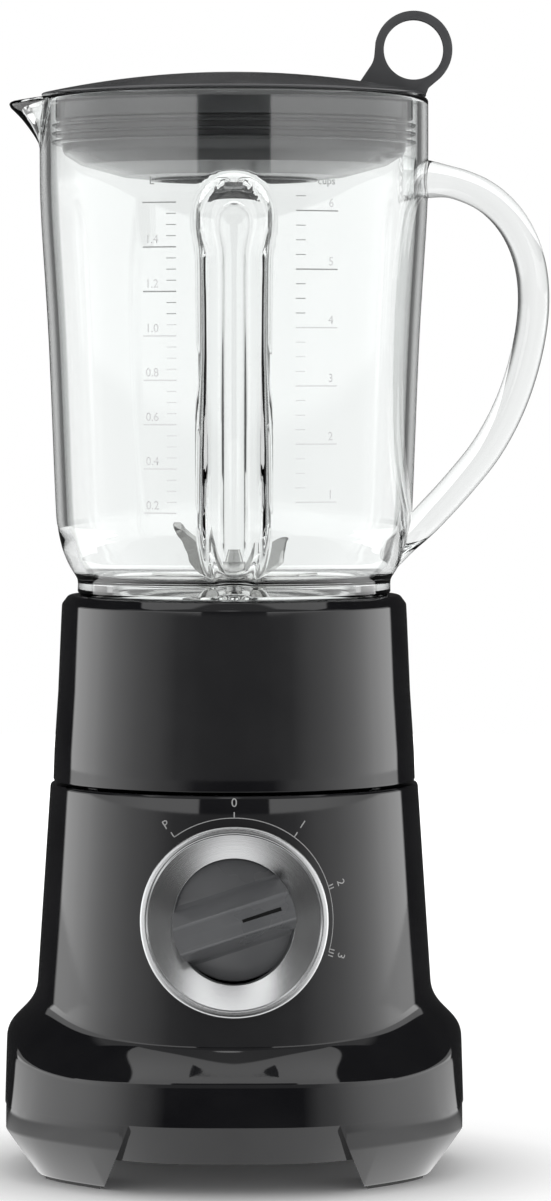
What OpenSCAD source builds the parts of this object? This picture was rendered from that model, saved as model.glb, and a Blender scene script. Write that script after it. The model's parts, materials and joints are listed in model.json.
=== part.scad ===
// Countertop blender: motor base with a speed dial, lift-off glass jug with its blade unit, lid and measuring cap.
// Millimetres, +Z up, front towards -Y, handle towards +X. The origin is the middle of the base at table level.

/* [Base] */
// Half width of the skirt at the ledge above its upright band
ledge_half = 82.2; // [81:0.1:84]
// Height of the ledge's crease at the front and the back
ledge_z = 41; // [40:0.1:42]
// Height of the ledge's crease at the sides
side_ledge_z = 47.4; // [45:0.1:48]
// Half width of the skirt where the feet start to taper
foot_half = 83.2; // [82.5:0.1:85]
// Height where the feet start to taper
foot_z = 17; // [15:0.5:18]
// How far a foot tapers inwards for each millimetre down
foot_taper = 0.65; // [0.6:0.01:0.8]
// Height of the crease between the feet
arch_crease_z = 25.5; // [24:0.5:27]
// Height of the skirt's lower edge between the feet
arch_z = 11.5; // [10:0.5:12]
// Distance from the middle to a foot's inner edge at the table, seen from the front
foot_inner = 46.5; // [44:0.5:50]
// Distance from the middle to a foot's inner edge at the table, seen from the side
side_foot_inner = 28; // [24:0.5:32]
// Thickness of the feet's rubber pads
pad_t = 1.5; // [1:0.1:2]
// Radius of the tower where it meets the shoulder at the sides
tower_foot_r = 70.9; // [70:0.1:72]
// Height where the tower meets the shoulder at the sides
flare_z = 68.3; // [66:0.1:70]
// Height where the tower meets the shoulder at the front and the back
front_flare_z = 52.5; // [51:0.5:56]
// Radius of the tower's top edge
tower_top_r = 66.2; // [65.5:0.1:67]
// Height of the tower
tower_z = 139.5; // [138:0.5:141]
// Thickness of the moulded walls
wall = 2.6; // [2:0.1:3]

/* [Dial] */
// Height of the dial's centre
dial_z = 95.7; // [93:0.1:98]
// Outer radius of the trim ring round the dial
bezel_r = 33.4; // [32:0.1:35]
// Height of the trim ring above the tower's surface
bezel_h = 2.8; // [2:0.1:4]
// Radius of the dial
dial_r = 21.6; // [20:0.1:23]
// Distance from the tower's axis to the front of the dial's grip
grip_front = 75; // [73:0.5:78]
// Angle of the dial's pointer at rest, clockwise from straight up
dial_rest = 72; // [0:1:108]

/* [Jug collar] */
// Radius of the collar at its lower edge
collar_low_r = 65.2; // [64:0.1:66]
// Radius of the collar below its rounded shoulder
collar_top_r = 62.3; // [61:0.1:63]
// Height of the collar's top
collar_z = 207.5; // [206.5:0.5:208.5]
// Gap between the tower and the collar
seam = 0.9; // [0.5:0.1:1.2]

/* [Glass jug] */
// Outer radius of the jug at its mouth
mouth_r = 69.7; // [69:0.1:71]
// Outer radius of the jug above its rounded bottom
jug_low_r = 64.3; // [63.5:0.1:65]
// Height of the jug's rim
rim_z = 385.5; // [384.5:0.5:386.5]
// Thickness of the glass wall
glass_t = 3.8; // [3.4:0.1:4.2]
// Reach of the spout's tip from the jug's axis
spout_reach = 80.6; // [79:0.1:82]
// Half width of the handle's section, across the jug
handle_half_w = 9; // [8:0.5:10]
// Half thickness of the handle's section, outwards
handle_half_t = 5.6; // [5:0.1:6]
// Radius of the upright flutes pressed into the front and the back
flute_r = 12; // [11:0.5:13]

/* [Lid] */
// Radius of the lid
lid_r = 69; // [68:0.1:69.5]
// Height of the lid's dome at its centre
lid_top_z = 395.7; // [394.5:0.1:396.5]
// Outer radius of the finger ring
ring_r = 13.9; // [13:0.1:15]
// Radius of the finger ring's hole
ring_hole_r = 10.7; // [10:0.1:11.5]
// Thickness of the finger ring
ring_t = 5; // [4:0.5:6]
// Radius of the measuring cap's opening in the lid
cap_hole_r = 27.6; // [26:0.1:29]

/* [Motor] */
// Radius of the motor shaft and of the blade shaft
shaft_r = 4; // [3.5:0.1:4]
// Radius of the rotor
rotor_r = 19.7; // [19:0.1:20]
// Running clearance round a shaft
running = 0.04; // [0.02:0.01:0.08]
// Width of the stator
stator_w = 60; // [58:1:62]
// Depth of the stator
stator_d = 50; // [48:1:52]

/* [Hidden] */

$fn = 64;
eps = 0.01;
plan_steps = 64;

// Finishes
gloss_black = [0.03, 0.03, 0.035];
dark_grey = [0.2, 0.2, 0.21];
steel = [0.72, 0.73, 0.74];
copper = [0.72, 0.38, 0.2];
rubber_black = [0.06, 0.06, 0.06];
clear_glass = [0.85, 0.92, 0.92, 0.4];
brass = [0.78, 0.62, 0.3];

// How tight the corners of the skirt's eight-sided plan are
corner_power = 12;
arch_half = foot_half - (arch_crease_z - foot_z) * (foot_half - ledge_half) / (ledge_z - foot_z);

// Levels inside the base
cover_z = arch_z + 0.5;
cover_t = 2.5;
deck_z = tower_z - 3;
floor_z = cover_z + cover_t;
cover_post_x = 60;
cover_post_y = 14;
cord_z = 30.5;
cord_hole_r = 6;

// Levels of the motor, hung below the deck
upper_bracket_z = 115.5;
lower_bracket_z = 35.5;
bracket_t = 4;
core_low_z = 69.5;
core_high_z = 103.5;
post_x = 38;
post_y = 26;
brush_z = 51.5;
fan_z = floor_z + 6.5;
shaft_low_z = fan_z - 4;
bearing_r = 11;
bearing_h = 7;
bolt_x = stator_w / 2 - 4.5;
bolt_y = stator_d / 2 - 4.5;
bolt_r = 2;
mount_t = 3;

// Levels of the drive at the top of the base
seat_r = 50;
seat_z = tower_z + 22;
well_r = 22;
well_floor_z = tower_z + 10;
coupling_r = 14;
drive_z = well_floor_z + 2.5;
jaw_z = drive_z + 5;
jaw_h = 7;
driven_z = jaw_z + jaw_h + 0.6;

// Levels of the blade unit
pocket_z = collar_z - 22;
base_plate_t = 3;
gasket_t = 2.5;
neck_r = 48.5;
neck_bore_r = 44;
neck_z = pocket_z + base_plate_t + gasket_t;
hub_r = 12;
hub_low_z = driven_z + 12;
hub_top_z = collar_z + 2.5;
bush_r = 7;
bush_h = 7;

// Levels of the lid
plug_r = 62;
plug_low_z = rim_z - 21;
tube_r = cap_hole_r + 3;
tube_low_z = rim_z - 30;
ring_x = 64.4;
ring_z = 402.6;

// Distance from the tower's axis to the back of the dial's pocket
pocket_back = 56.5;
// Room between the dial and the ring round it
dial_gap = 0.8;

function tower_r(z) = tower_foot_r + (tower_top_r - tower_foot_r) * (z - flare_z) / (tower_z - flare_z);

// Distance from the axis to a rounded octagon of the given half width, in direction t
function plan_r(t, half) =
    half * pow([for (turn = [0:45:135]) pow(abs(cos(t - turn)), corner_power)] * [1, 1, 1, 1], -1 / corner_power);

function plan_points(half) =
    [for (i = [0:plan_steps - 1]) let (t = 360 * i / plan_steps) plan_r(t, half) * [cos(t), sin(t)]];

// Faces of a closed skin over a stack of rings, each of the same count of points
function skin_faces(rings, count) = concat(
    [[for (i = [0:count - 1]) i]],
    [for (k = [0:rings - 2], i = [0:count - 1])
        let (a = k * count + i, b = k * count + (i + 1) % count) [a, a + count, b]],
    [for (k = [0:rings - 2], i = [0:count - 1])
        let (a = k * count + i, b = k * count + (i + 1) % count) [b, a + count, b + count]],
    [[for (i = [count - 1:-1:0]) (rings - 1) * count + i]]
);

// Solid over a stack of rings
module skin(rings) {
    polyhedron([for (one = rings) each one], skin_faces(len(rings), plan_steps), convexity = 6);
}

function level_ring(z, half) = [for (p = plan_points(half)) [p[0], p[1], z]];

function round_ring(z, r) =
    [for (i = [0:plan_steps - 1]) let (t = 360 * i / plan_steps) [r * cos(t), r * sin(t), z]];

function mix(a, b, share) = a + (b - a) * share;

function bezier(p, s) =
    pow(1 - s, 3) * p[0] + 3 * pow(1 - s, 2) * s * p[1] + 3 * (1 - s) * s * s * p[2] + s * s * s * p[3];

// The shoulder's section in direction t, as the [radius, height] of a curve's four control points.
// It is a low sloping shelf at the front and the back, and a high rounded hip at the sides.
function shoulder_section(t) =
    let (
        side = pow(cos(t), 4),
        edge_r = plan_r(t, ledge_half),
        edge_z = mix(ledge_z, side_ledge_z, side * side),
        top_z = mix(front_flare_z, flare_z, side)
    )
    [[edge_r, edge_z], [edge_r - mix(4.6, -0.4, side), edge_z + mix(3.3, 9.2, side)],
     [mix(72.2, 71.5, side), top_z - mix(5.4, 10.8, side)], [tower_r(top_z), top_z]];

// Ring of the shoulder at share s of its way up, moved inwards and down by the wall's thickness
function shoulder_ring(s, inset) = [
    for (i = [0:plan_steps - 1])
        let (t = 360 * i / plan_steps, p = bezier(shoulder_section(t), s) - inset * [1, 0.8])
        [p[0] * cos(t), p[0] * sin(t), p[1]]
];

// Smooth curve through points, as a list with steps points to each span
function spline(p, steps) = concat(
    [for (i = [0:len(p) - 2], j = [0:steps - 1])
        let (a = p[max(i - 1, 0)], b = p[i], c = p[i + 1], d = p[min(i + 2, len(p) - 1)], u = j / steps)
        0.5 * ((2 * b) + (c - a) * u + (2 * a - 5 * b + 4 * c - d) * u * u + (3 * b - a - 3 * c + d) * u * u * u)],
    [p[len(p) - 1]]
);

function unit(v) = v / norm(v);

// Tube along a path in the XZ plane, half_t thick in that plane and half_w wide across it
module flat_sweep(path, half_t, half_w, sides, n) {
    last = len(path) - 1;
    points = [for (i = [0:last])
        let (d = unit(path[min(i + 1, last)] - path[max(i - 1, 0)]), side = [d[1], -d[0]])
        for (k = [0:sides - 1])
            let (t = 360 * k / sides, r = 1 / pow(pow(abs(cos(t)), n) + pow(abs(sin(t)), n), 1 / n))
            [path[i][0] + side[0] * half_t * r * cos(t), half_w * r * sin(t),
             path[i][1] + side[1] * half_t * r * cos(t)]];
    polyhedron(points, skin_faces(last + 1, sides), convexity = 6);
}

// Round wire along a path in space
module wire(path, r, sides) {
    last = len(path) - 1;
    points = [for (i = [0:last])
        let (
            d = unit(path[min(i + 1, last)] - path[max(i - 1, 0)]),
            across = unit(cross(d, abs(d[2]) > 0.9 ? [1, 0, 0] : [0, 0, 1])),
            up = cross(d, across)
        )
        for (k = [0:sides - 1]) let (t = 360 * k / sides) path[i] + r * (cos(t) * across + sin(t) * up)];
    polyhedron(points, skin_faces(last + 1, sides), convexity = 4);
}

// Cylinder along Y from y0 to y1, at the dial's height
module dial_cylinder(r, y0, y1) {
    translate([0, y1, dial_z]) rotate([90, 0, 0]) cylinder(r = r, h = y1 - y0);
}

module tube(r_out, r_in, z0, z1) {
    translate([0, 0, z0]) difference() {
        cylinder(r = r_out, h = z1 - z0);
        translate([0, 0, -1]) cylinder(r = r_in, h = z1 - z0 + 2);
    }
}

module at_corners(x, y) {
    for (sx = [-1, 1], sy = [-1, 1]) translate([sx * x, sy * y, 0]) children();
}

module screw(head_r, head_h, shank_r, length) {
    cylinder(r = head_r, h = head_h);
    translate([0, 0, head_h - eps]) cylinder(r = shank_r, h = length);
}

// ---- Motor base ----

skirt_rings = concat(
    [
        level_ring(arch_z, arch_half - (arch_crease_z - arch_z) * foot_taper),
        level_ring(arch_crease_z, arch_half)
    ],
    [for (s = [0:0.125:1]) shoulder_ring(s, 0)],
    [round_ring(tower_z, tower_top_r)]
);

foot_rings = [
    level_ring(pad_t - 0.3, foot_half - (foot_z - pad_t + 0.3) * foot_taper),
    level_ring(foot_z, foot_half),
    level_ring(arch_crease_z, arch_half)
];

// The hollow inside the housing, open downwards from height low
module housing_cavity(low) {
    skin(concat(
        [
            level_ring(low, arch_half - (arch_crease_z - low) * foot_taper - wall),
            level_ring(arch_crease_z, arch_half - wall)
        ],
        [for (s = [0:0.25:1]) shoulder_ring(s, wall)],
        [round_ring(deck_z, tower_top_r - wall)]
    ));
}

// Space left open between two feet, along Y, with its half width at the table
module foot_gap(half) {
    top = arch_crease_z + 2;
    slope = 0.38;
    rotate([90, 0, 0]) linear_extrude(height = 200, center = true)
        polygon([[-half, -1], [half, -1], [half - slope * top, top], [slope * top - half, top]]);
}

module housing_posts() {
    // Motor posts under the deck
    at_corners(post_x, post_y) translate([0, 0, upper_bracket_z + bracket_t + mount_t])
        cylinder(r = 5, h = deck_z - upper_bracket_z - bracket_t - mount_t + 1);
    // Posts for the bottom cover, each with a rib to the skirt's wall
    post_h = 22;
    at_corners(cover_post_x, cover_post_y) translate([0, 0, floor_z]) cylinder(r = 4.5, h = post_h);
    at_corners(cover_post_x + 9.5, cover_post_y) translate([-10, -1, floor_z]) cube([20, 2, post_h]);
}

module motor_housing() {
    color(gloss_black) difference() {
        union() {
            difference() {
                skin(skirt_rings);
                housing_cavity(arch_z - 1);
            }
            difference() {
                skin(foot_rings);
                foot_gap(foot_inner);
                rotate([0, 0, 90]) foot_gap(side_foot_inner);
                housing_cavity(cover_z);
            }
            intersection() {
                skin(skirt_rings);
                union() {
                    housing_posts();
                    dial_cylinder(dial_r + dial_gap + wall, -69, -pocket_back + wall);
                }
            }
        }
        // Pocket for the dial and hole for the switch's neck
        dial_cylinder(dial_r + dial_gap, -90, -pocket_back);
        dial_cylinder(5.2, -90, -50);
        // Hole for the motor's shaft and its seal
        translate([0, 0, deck_z - 1]) cylinder(r = 12, h = 10);
        // Screw holes
        at_corners(post_x, post_y) translate([0, 0, upper_bracket_z]) cylinder(r = 1.8, h = 17);
        at_corners(cover_post_x, cover_post_y) translate([0, 0, floor_z - 1]) cylinder(r = 1.6, h = 14);
        // Cord hole through the back
        translate([0, 90, cord_z]) rotate([90, 0, 0]) cylinder(r = cord_hole_r, h = 20);
    }
}

module jug_seat() {
    color(gloss_black) rotate_extrude() polygon([
        [9.2, well_floor_z - 2.5], [well_r + 2.5, well_floor_z - 2.5], [well_r + 2.5, seat_z - 2.5],
        [seat_r - 2.5, seat_z - 2.5], [seat_r - 2.5, tower_z], [seat_r, tower_z], [seat_r, seat_z - 1.5],
        [seat_r - 1.5, seat_z], [well_r, seat_z], [well_r, well_floor_z], [9.2, well_floor_z]
    ]);
}

module drip_seal() {
    color(rubber_black) rotate_extrude() polygon([
        [shaft_r + 0.3, well_floor_z - 2.5], [9.2, well_floor_z - 2.5], [9.2, well_floor_z],
        [11, well_floor_z], [11, well_floor_z + 1], [6, well_floor_z + 1.6], [shaft_r + 0.3, well_floor_z + 1.2]
    ]);
}

module vent_slots() {
    for (a = [0:30:330]) rotate([0, 0, a]) {
        translate([16, -1.6, cover_z - 1]) cube([18, 3.2, cover_t + 2]);
    }
}

module bottom_cover() {
    color(rubber_black) difference() {
        translate([0, 0, cover_z]) linear_extrude(height = cover_t)
            polygon(plan_points(arch_half - (arch_crease_z - cover_z) * foot_taper - wall - 0.5));
        vent_slots();
        at_corners(cover_post_x, cover_post_y) translate([0, 0, cover_z - 1]) cylinder(r = 1.8, h = 5);
    }
}

module rubber_feet() {
    half = foot_half - foot_z * foot_taper - 0.6;
    color(rubber_black) difference() {
        linear_extrude(height = pad_t - 0.3) polygon(plan_points(half));
        translate([-foot_inner - 0.6, -100, -1]) cube([2 * foot_inner + 1.2, 200, 4]);
        translate([-100, -side_foot_inner - 0.6, -1]) cube([200, 2 * side_foot_inner + 1.2, 4]);
    }
}

module cover_screws() {
    color(steel) at_corners(cover_post_x, cover_post_y) translate([0, 0, cover_z - 2]) screw(3.2, 2, 1.5, 12);
}

// ---- Dial and switch ----

// The tower's outer surface, moved outwards by grow
module tower_cone(grow) {
    low = front_flare_z - 10;
    translate([0, 0, low]) cylinder(r1 = tower_r(low) + grow, r2 = tower_r(tower_z) + grow, h = tower_z - low);
}

module dial_bezel() {
    color(steel) difference() {
        intersection() {
            dial_cylinder(bezel_r, -90, -40);
            tower_cone(bezel_h);
        }
        tower_cone(0);
        dial_cylinder(dial_r + dial_gap, -95, -30);
    }
}

module speed_dial() {
    grip_back = 62;
    color(dark_grey) translate([0, 0, dial_z]) rotate([90, 0, 0]) rotate([0, 0, 90 - dial_rest]) difference() {
        union() {
            // Round dish that closes the opening in the trim ring
            translate([0, 0, pocket_back + 3]) cylinder(r = dial_r, h = grip_back - pocket_back - 3);
            // Bar grip with sloping flanks, its ends cut round
            intersection() {
                cylinder(r = dial_r, h = 100);
                rotate([90, 0, 90]) linear_extrude(height = 100, center = true) polygon([
                    [-10.8, grip_back - 1], [10.8, grip_back - 1], [10.8, grip_back], [6.2, grip_front - 4],
                    [4.4, grip_front], [-4.4, grip_front], [-6.2, grip_front - 4], [-10.8, grip_back]
                ]);
            }
        }
        // Socket for the spindle and room for the switch's nut
        translate([0, 0, 50]) cylinder(r = 3 + running, h = 16);
        translate([0, 0, 50]) cylinder(r = 9.5, h = pocket_back - 50 + 4);
        // Pointer groove
        translate([3, -0.7, grip_front - 0.6]) cube([14.5, 1.4, 2]);
    }
}

module switch_spindle() {
    color(steel) dial_cylinder(3, -65.5, -45);
}

module speed_switch() {
    color([0.85, 0.82, 0.72]) difference() {
        union() {
            translate([-17, -53.7, dial_z - 16]) cube([34, 17.7, 32]);
            dial_cylinder(5, -58.6, -53);
            for (x = [-11:5.5:11]) translate([x - 1.5, -36.5, dial_z - 12]) cube([3, 6.5, 0.8]);
        }
        dial_cylinder(3 + running, -70, -44.5);
    }
}

module switch_nut() {
    color(steel) difference() {
        translate([0, -pocket_back, dial_z]) rotate([90, 0, 0]) cylinder(r = 8, h = 2, $fn = 6);
        dial_cylinder(5, -70, -40);
    }
}

// ---- Motor ----

module bracket_shape(arm_x, arm_y) {
    // Two crossed arms that reach the four fixing points, and a middle disc
    for (s = [-1, 1]) rotate([0, 0, s * atan2(arm_y, arm_x)])
        square([2 * norm([arm_x, arm_y]) + 9, 10], center = true);
    circle(r = 16);
}

module upper_bracket() {
    color(steel) difference() {
        union() {
            translate([0, 0, upper_bracket_z]) linear_extrude(height = bracket_t) bracket_shape(post_x, post_y);
            translate([0, 0, upper_bracket_z - 3]) cylinder(r = bearing_r + 2.5, h = bearing_h + 1);
        }
        translate([0, 0, upper_bracket_z - 4]) cylinder(r = bearing_r, h = bearing_h + 3);
        at_corners(post_x, post_y) translate([0, 0, upper_bracket_z - 1]) cylinder(r = 2, h = 8);
        at_corners(bolt_x, bolt_y) translate([0, 0, upper_bracket_z - 1]) cylinder(r = bolt_r + 0.1, h = 8);
    }
}

module lower_bracket() {
    color(steel) difference() {
        union() {
            translate([0, 0, lower_bracket_z]) linear_extrude(height = bracket_t) {
                bracket_shape(bolt_x, bolt_y);
                // Side arms that carry the brush holders
                square([60, 11], center = true);
            }
            translate([0, 0, lower_bracket_z]) cylinder(r = bearing_r + 2.5, h = bearing_h);
        }
        translate([0, 0, lower_bracket_z - 1]) cylinder(r = bearing_r, h = bearing_h + 2);
        at_corners(bolt_x, bolt_y) translate([0, 0, lower_bracket_z - 1]) cylinder(r = bolt_r + 0.1, h = 8);
    }
}

// Ball bearing with its two shields a little below the rings' faces
module bearing(z) {
    color(steel) translate([0, 0, z]) rotate_extrude() polygon([
        [shaft_r + running, 0], [6, 0], [6, 0.6], [9, 0.6], [9, 0], [bearing_r, 0],
        [bearing_r, bearing_h], [9, bearing_h], [9, bearing_h - 0.6], [6, bearing_h - 0.6], [6, bearing_h],
        [shaft_r + running, bearing_h]
    ]);
}

module upper_bearing() { bearing(upper_bracket_z - 2.5); }

module lower_bearing() { bearing(lower_bracket_z); }

// The four places where the coils pass through the core, grown by gap
module coil_windows(gap) {
    at_corners(19, 17.2) square([6 + gap, 5.5 + gap], center = true);
}

module stator_core() {
    color([0.45, 0.45, 0.47]) translate([0, 0, core_low_z]) linear_extrude(height = core_high_z - core_low_z)
        difference() {
            square([stator_w, stator_d], center = true);
            circle(r = rotor_r + 0.8);
            coil_windows(0.4);
            at_corners(bolt_x, bolt_y) circle(r = bolt_r + 0.1);
        }
}

module field_coils() {
    over = 7;
    color(copper) for (s = [-1, 1]) translate([s * 19, 0, (core_low_z + core_high_z) / 2]) difference() {
        cube([6, 39.9, core_high_z - core_low_z + 2 * over], center = true);
        cube([8, 28.9, core_high_z - core_low_z + 0.4], center = true);
    }
}

module brush_holders() {
    size = 11;
    color(brass) for (s = [-1, 1]) translate([s * 24.5, 0, brush_z]) difference() {
        cube([21, size, size], center = true);
        translate([-s * 2, 0, 0]) cube([21, 8.4, 8.4], center = true);
    }
    // Insulating feet that carry the holders on the lower bracket's side arms
    foot_low_z = lower_bracket_z + bracket_t;
    color(dark_grey) for (s = [-1, 1])
        translate([s * 24 - 4, -4.5, foot_low_z]) cube([8, 9, brush_z - size / 2 - foot_low_z + 0.5]);
}

module carbon_brushes() {
    color([0.15, 0.15, 0.16]) for (s = [-1, 1]) translate([s * 20.3, 0, brush_z]) cube([16, 8, 8], center = true);
}

module motor_bolts() {
    color(steel) at_corners(bolt_x, bolt_y) {
        translate([0, 0, lower_bracket_z - 2.5]) cylinder(r = 3.6, h = 2.5);
        translate([0, 0, lower_bracket_z - 1])
            cylinder(r = bolt_r, h = upper_bracket_z + bracket_t + 4 - lower_bracket_z);
        translate([0, 0, upper_bracket_z + bracket_t]) cylinder(r = 3.8, h = 2.4, $fn = 6);
        tube_spacer(lower_bracket_z + bracket_t, core_low_z);
        tube_spacer(core_high_z, upper_bracket_z);
    }
}

// Shouldered part of a motor bolt between a bracket and the core
module tube_spacer(z0, z1) {
    translate([0, 0, z0]) cylinder(r = 3.2, h = z1 - z0);
}

module motor_mounts() {
    color(rubber_black) at_corners(post_x, post_y) translate([0, 0, upper_bracket_z + bracket_t]) difference() {
        cylinder(r = 4.8, h = mount_t);
        translate([0, 0, -1]) cylinder(r = 2, h = 5);
    }
}

module mount_screws() {
    color(steel) at_corners(post_x, post_y) translate([0, 0, upper_bracket_z - 2.4]) screw(3.4, 2.4, 1.75, 16);
}

module fan_shroud() {
    color(dark_grey) tube(42, 40, floor_z, floor_z + 16);
}

module suppression_capacitor() {
    color([0.85, 0.75, 0.2]) translate([-44, 42, floor_z]) cube([18, 10, 14]);
}

module terminal_block() {
    color([0.9, 0.9, 0.88]) difference() {
        translate([14, 42, floor_z]) cube([24, 14, 12]);
        for (x = [18:8:34]) translate([x, 49, floor_z + 5]) cylinder(r = 2, h = 10);
    }
}

// Two leads from the switch to the field coils and one to the terminal block
lead_routes = [
    [[-11, -31.5, 83.7], [-11.5, -32, 77.5], [-16, -31.5, 69.5], [-19, -26, 65.9], [-19, -19.95, 65.5]],
    [[11, -31.5, 83.7], [11.5, -32, 77.5], [16, -31.5, 69.5], [19, -26, 65.9], [19, -19.95, 65.5]],
    [[0, -31.5, 83.7], [1, -32.5, 73.5], [12, -34, 57.5], [33, -26, 45.5], [48, -2, 30.5], [46, 24, 23.5],
     [38, 35, 21.5], [34.5, 41.2, 21.5]]
];

module motor_leads() {
    color([0.7, 0.15, 0.12]) for (route = lead_routes) wire(spline(route, 4), 1.2, 8);
}

module cord_gland() {
    bore_r = 3.6;
    waist_r = cord_hole_r - 0.1;
    color(rubber_black) translate([0, 0, cord_z]) rotate([-90, 0, 0]) rotate_extrude() polygon([
        [bore_r, 72], [8.5, 72], [8.5, 77.2], [waist_r, 78.2], [waist_r, 83.3], [8.5, 83.5], [8, 85.5], [5.6, 87.5],
        [bore_r, 87.5]
    ]);
}

// ---- Rotor ----

module motor_shaft() {
    color(steel) {
        translate([0, 0, shaft_low_z]) cylinder(r = shaft_r, h = jaw_z - shaft_low_z);
        translate([0, 0, lower_bracket_z + bearing_h + 0.3]) cylinder(r = 5.5, h = 1.2);
    }
}

module rotor_slots(width, depth) {
    for (a = [0:30:330]) rotate([0, 0, a]) translate([rotor_r - depth - 1, -width / 2]) square([depth, width]);
}

module rotor_core() {
    color([0.5, 0.5, 0.52]) translate([0, 0, core_low_z]) linear_extrude(height = core_high_z - core_low_z)
        difference() {
            circle(r = rotor_r);
            circle(r = shaft_r);
            rotor_slots(3, 7);
        }
}

module rotor_windings() {
    over = 6;
    head_r = 15.2;
    color(copper) {
        tube(head_r, 5, core_high_z, core_high_z + over);
        tube(head_r, 5, core_low_z - over, core_low_z);
        translate([0, 0, core_low_z - eps]) linear_extrude(height = core_high_z - core_low_z + 2 * eps)
            intersection() {
                rotor_slots(2.8, 6.8);
                circle(r = 17.5);
            }
    }
}

module commutator() {
    color(copper) translate([0, 0, brush_z - 7]) linear_extrude(height = 15) difference() {
        circle(r = 12);
        circle(r = shaft_r);
        for (a = [0:15:345]) rotate([0, 0, a]) translate([10.5, -0.25]) square([3, 0.5]);
    }
}

module cooling_fan() {
    color(dark_grey) {
        difference() {
            union() {
                translate([0, 0, fan_z]) cylinder(r = 10, h = 11);
                translate([0, 0, fan_z + 9]) cylinder(r = 36, h = 1.6);
                for (a = [0:40:320]) rotate([0, 0, a]) translate([9, 0, fan_z]) rotate([0, 0, 18])
                    cube([26, 1.6, 10]);
            }
            translate([0, 0, fan_z - 1]) cylinder(r = shaft_r, h = 20);
        }
    }
}

module fan_nut() {
    color(steel) translate([0, 0, fan_z - 3]) difference() {
        cylinder(r = 7.5, h = 3, $fn = 6);
        translate([0, 0, -1]) cylinder(r = shaft_r, h = 6);
    }
}

// Four jaws that stand on a coupling's disc, each 38 degrees wide
module jaws(turn) {
    half = 19;
    intersection() {
        difference() {
            cylinder(r = coupling_r, h = jaw_h);
            translate([0, 0, -1]) cylinder(r = 6.5, h = jaw_h + 2);
        }
        for (a = [0:90:270]) rotate([0, 0, a + turn]) linear_extrude(height = jaw_h)
            polygon([[0, 0], 30 * [cos(-half), sin(-half)], 30 * [cos(half), sin(half)]]);
    }
}

module drive_coupling() {
    color(rubber_black) {
        difference() {
            translate([0, 0, drive_z]) cylinder(r = coupling_r, h = jaw_z - drive_z);
            translate([0, 0, drive_z - 1]) cylinder(r = shaft_r, h = jaw_z - drive_z + 2);
        }
        translate([0, 0, jaw_z - eps]) jaws(0);
    }
}

// ---- Jug ----

collar_outline = [
    [collar_low_r, tower_z + seam], [collar_low_r - 0.4, tower_z + 12], [collar_low_r - 1.8, tower_z + 33],
    [collar_top_r, collar_z - 9.6], [collar_top_r - 0.7, collar_z - 4.6], [collar_top_r - 2, collar_z - 2],
    [collar_top_r - 4.4, collar_z - 0.3], [collar_top_r - 6.4, collar_z]
];

module jug_collar() {
    hall_r = 60.5;
    outline = concat(collar_outline, [
        [neck_r + 4.6, collar_z - 0.4], [neck_r + 3.8, collar_z - 1.6], [neck_r + 0.8, collar_z - 4],
        [neck_r + 0.8, pocket_z], [28, pocket_z], [28, pocket_z - 4], [neck_r + 4.3, pocket_z - 4],
        [neck_r + 4.3, collar_z - 7], [hall_r - 1.5, collar_z - 7],
        [hall_r - 0.6, pocket_z - 4], [hall_r, tower_z + 4],
        [collar_low_r - wall, tower_z + seam]
    ]);
    color(gloss_black) {
        rotate_extrude() polygon(outline);
        // Ribs that centre the collar on the seat and stand on its top
        for (a = [22.5:45:337.5]) rotate([0, 0, a]) {
            translate([seat_r + 0.8, -1.2, tower_z + 6]) cube([hall_r - seat_r - 0.4, 2.4, pocket_z - tower_z - 9]);
            translate([seat_r - 6, -1.2, seat_z + 0.3]) cube([10, 2.4, pocket_z - 4 - seat_z]);
        }
    }
}

glass_outline = [
    [0, neck_z], [neck_r, neck_z], [neck_r, collar_z - 3], [jug_low_r - 12.6, collar_z],
    [jug_low_r - 10.8, 209.5], [jug_low_r - 8.1, 212.3], [jug_low_r - 5.6, 215.9], [jug_low_r - 4.1, 219.5],
    [jug_low_r - 2.4, 223.1], [jug_low_r - 0.9, 230.3], [jug_low_r, 241.5], [66.6, 298.5], [mouth_r, 348.5],
    [mouth_r, rim_z - 1.6], [mouth_r - 0.6, rim_z - 0.5], [mouth_r - 1.8, rim_z], [0, rim_z]
];

cavity_outline = [
    [0, neck_z - 1], [neck_bore_r, neck_z - 1], [neck_bore_r, 209.5], [47, 212.1], [52, 215], [56.4, 219.5],
    [58.6, 225.5], [jug_low_r - glass_t - 0.6, 233.5], [jug_low_r - glass_t, 241.5], [66.6 - glass_t, 298.5],
    [mouth_r - glass_t, 348.5], [mouth_r - glass_t, rim_z - 1.5], [mouth_r - glass_t + 1.5, rim_z],
    [mouth_r - glass_t + 1.5, rim_z + 20], [0, rim_z + 20]
];

// Round-ended upright rods along the front and the back of the jug's wall, leaning with its taper
module flute_rods(r) {
    lean = 3;
    depth = 9;
    length = 116;
    for (s = [-1, 1]) translate([0, s * (jug_low_r + flute_r - depth), 225.5]) rotate([-s * lean, 0, 0]) {
        cylinder(r = r, h = length);
        translate([0, 0, length]) sphere(r = r);
        sphere(r = r);
    }
}

handle_points = [
    [64, 356.5], [72, 356.1], [82, 354.1], [92, 349.1], [100.5, 340], [106, 327.5], [107.7, 312.5], [105.6, 295.5],
    [100, 277], [91.5, 260.5], [80.5, 246.5], [69, 234], [59, 223.1]
];

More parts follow.
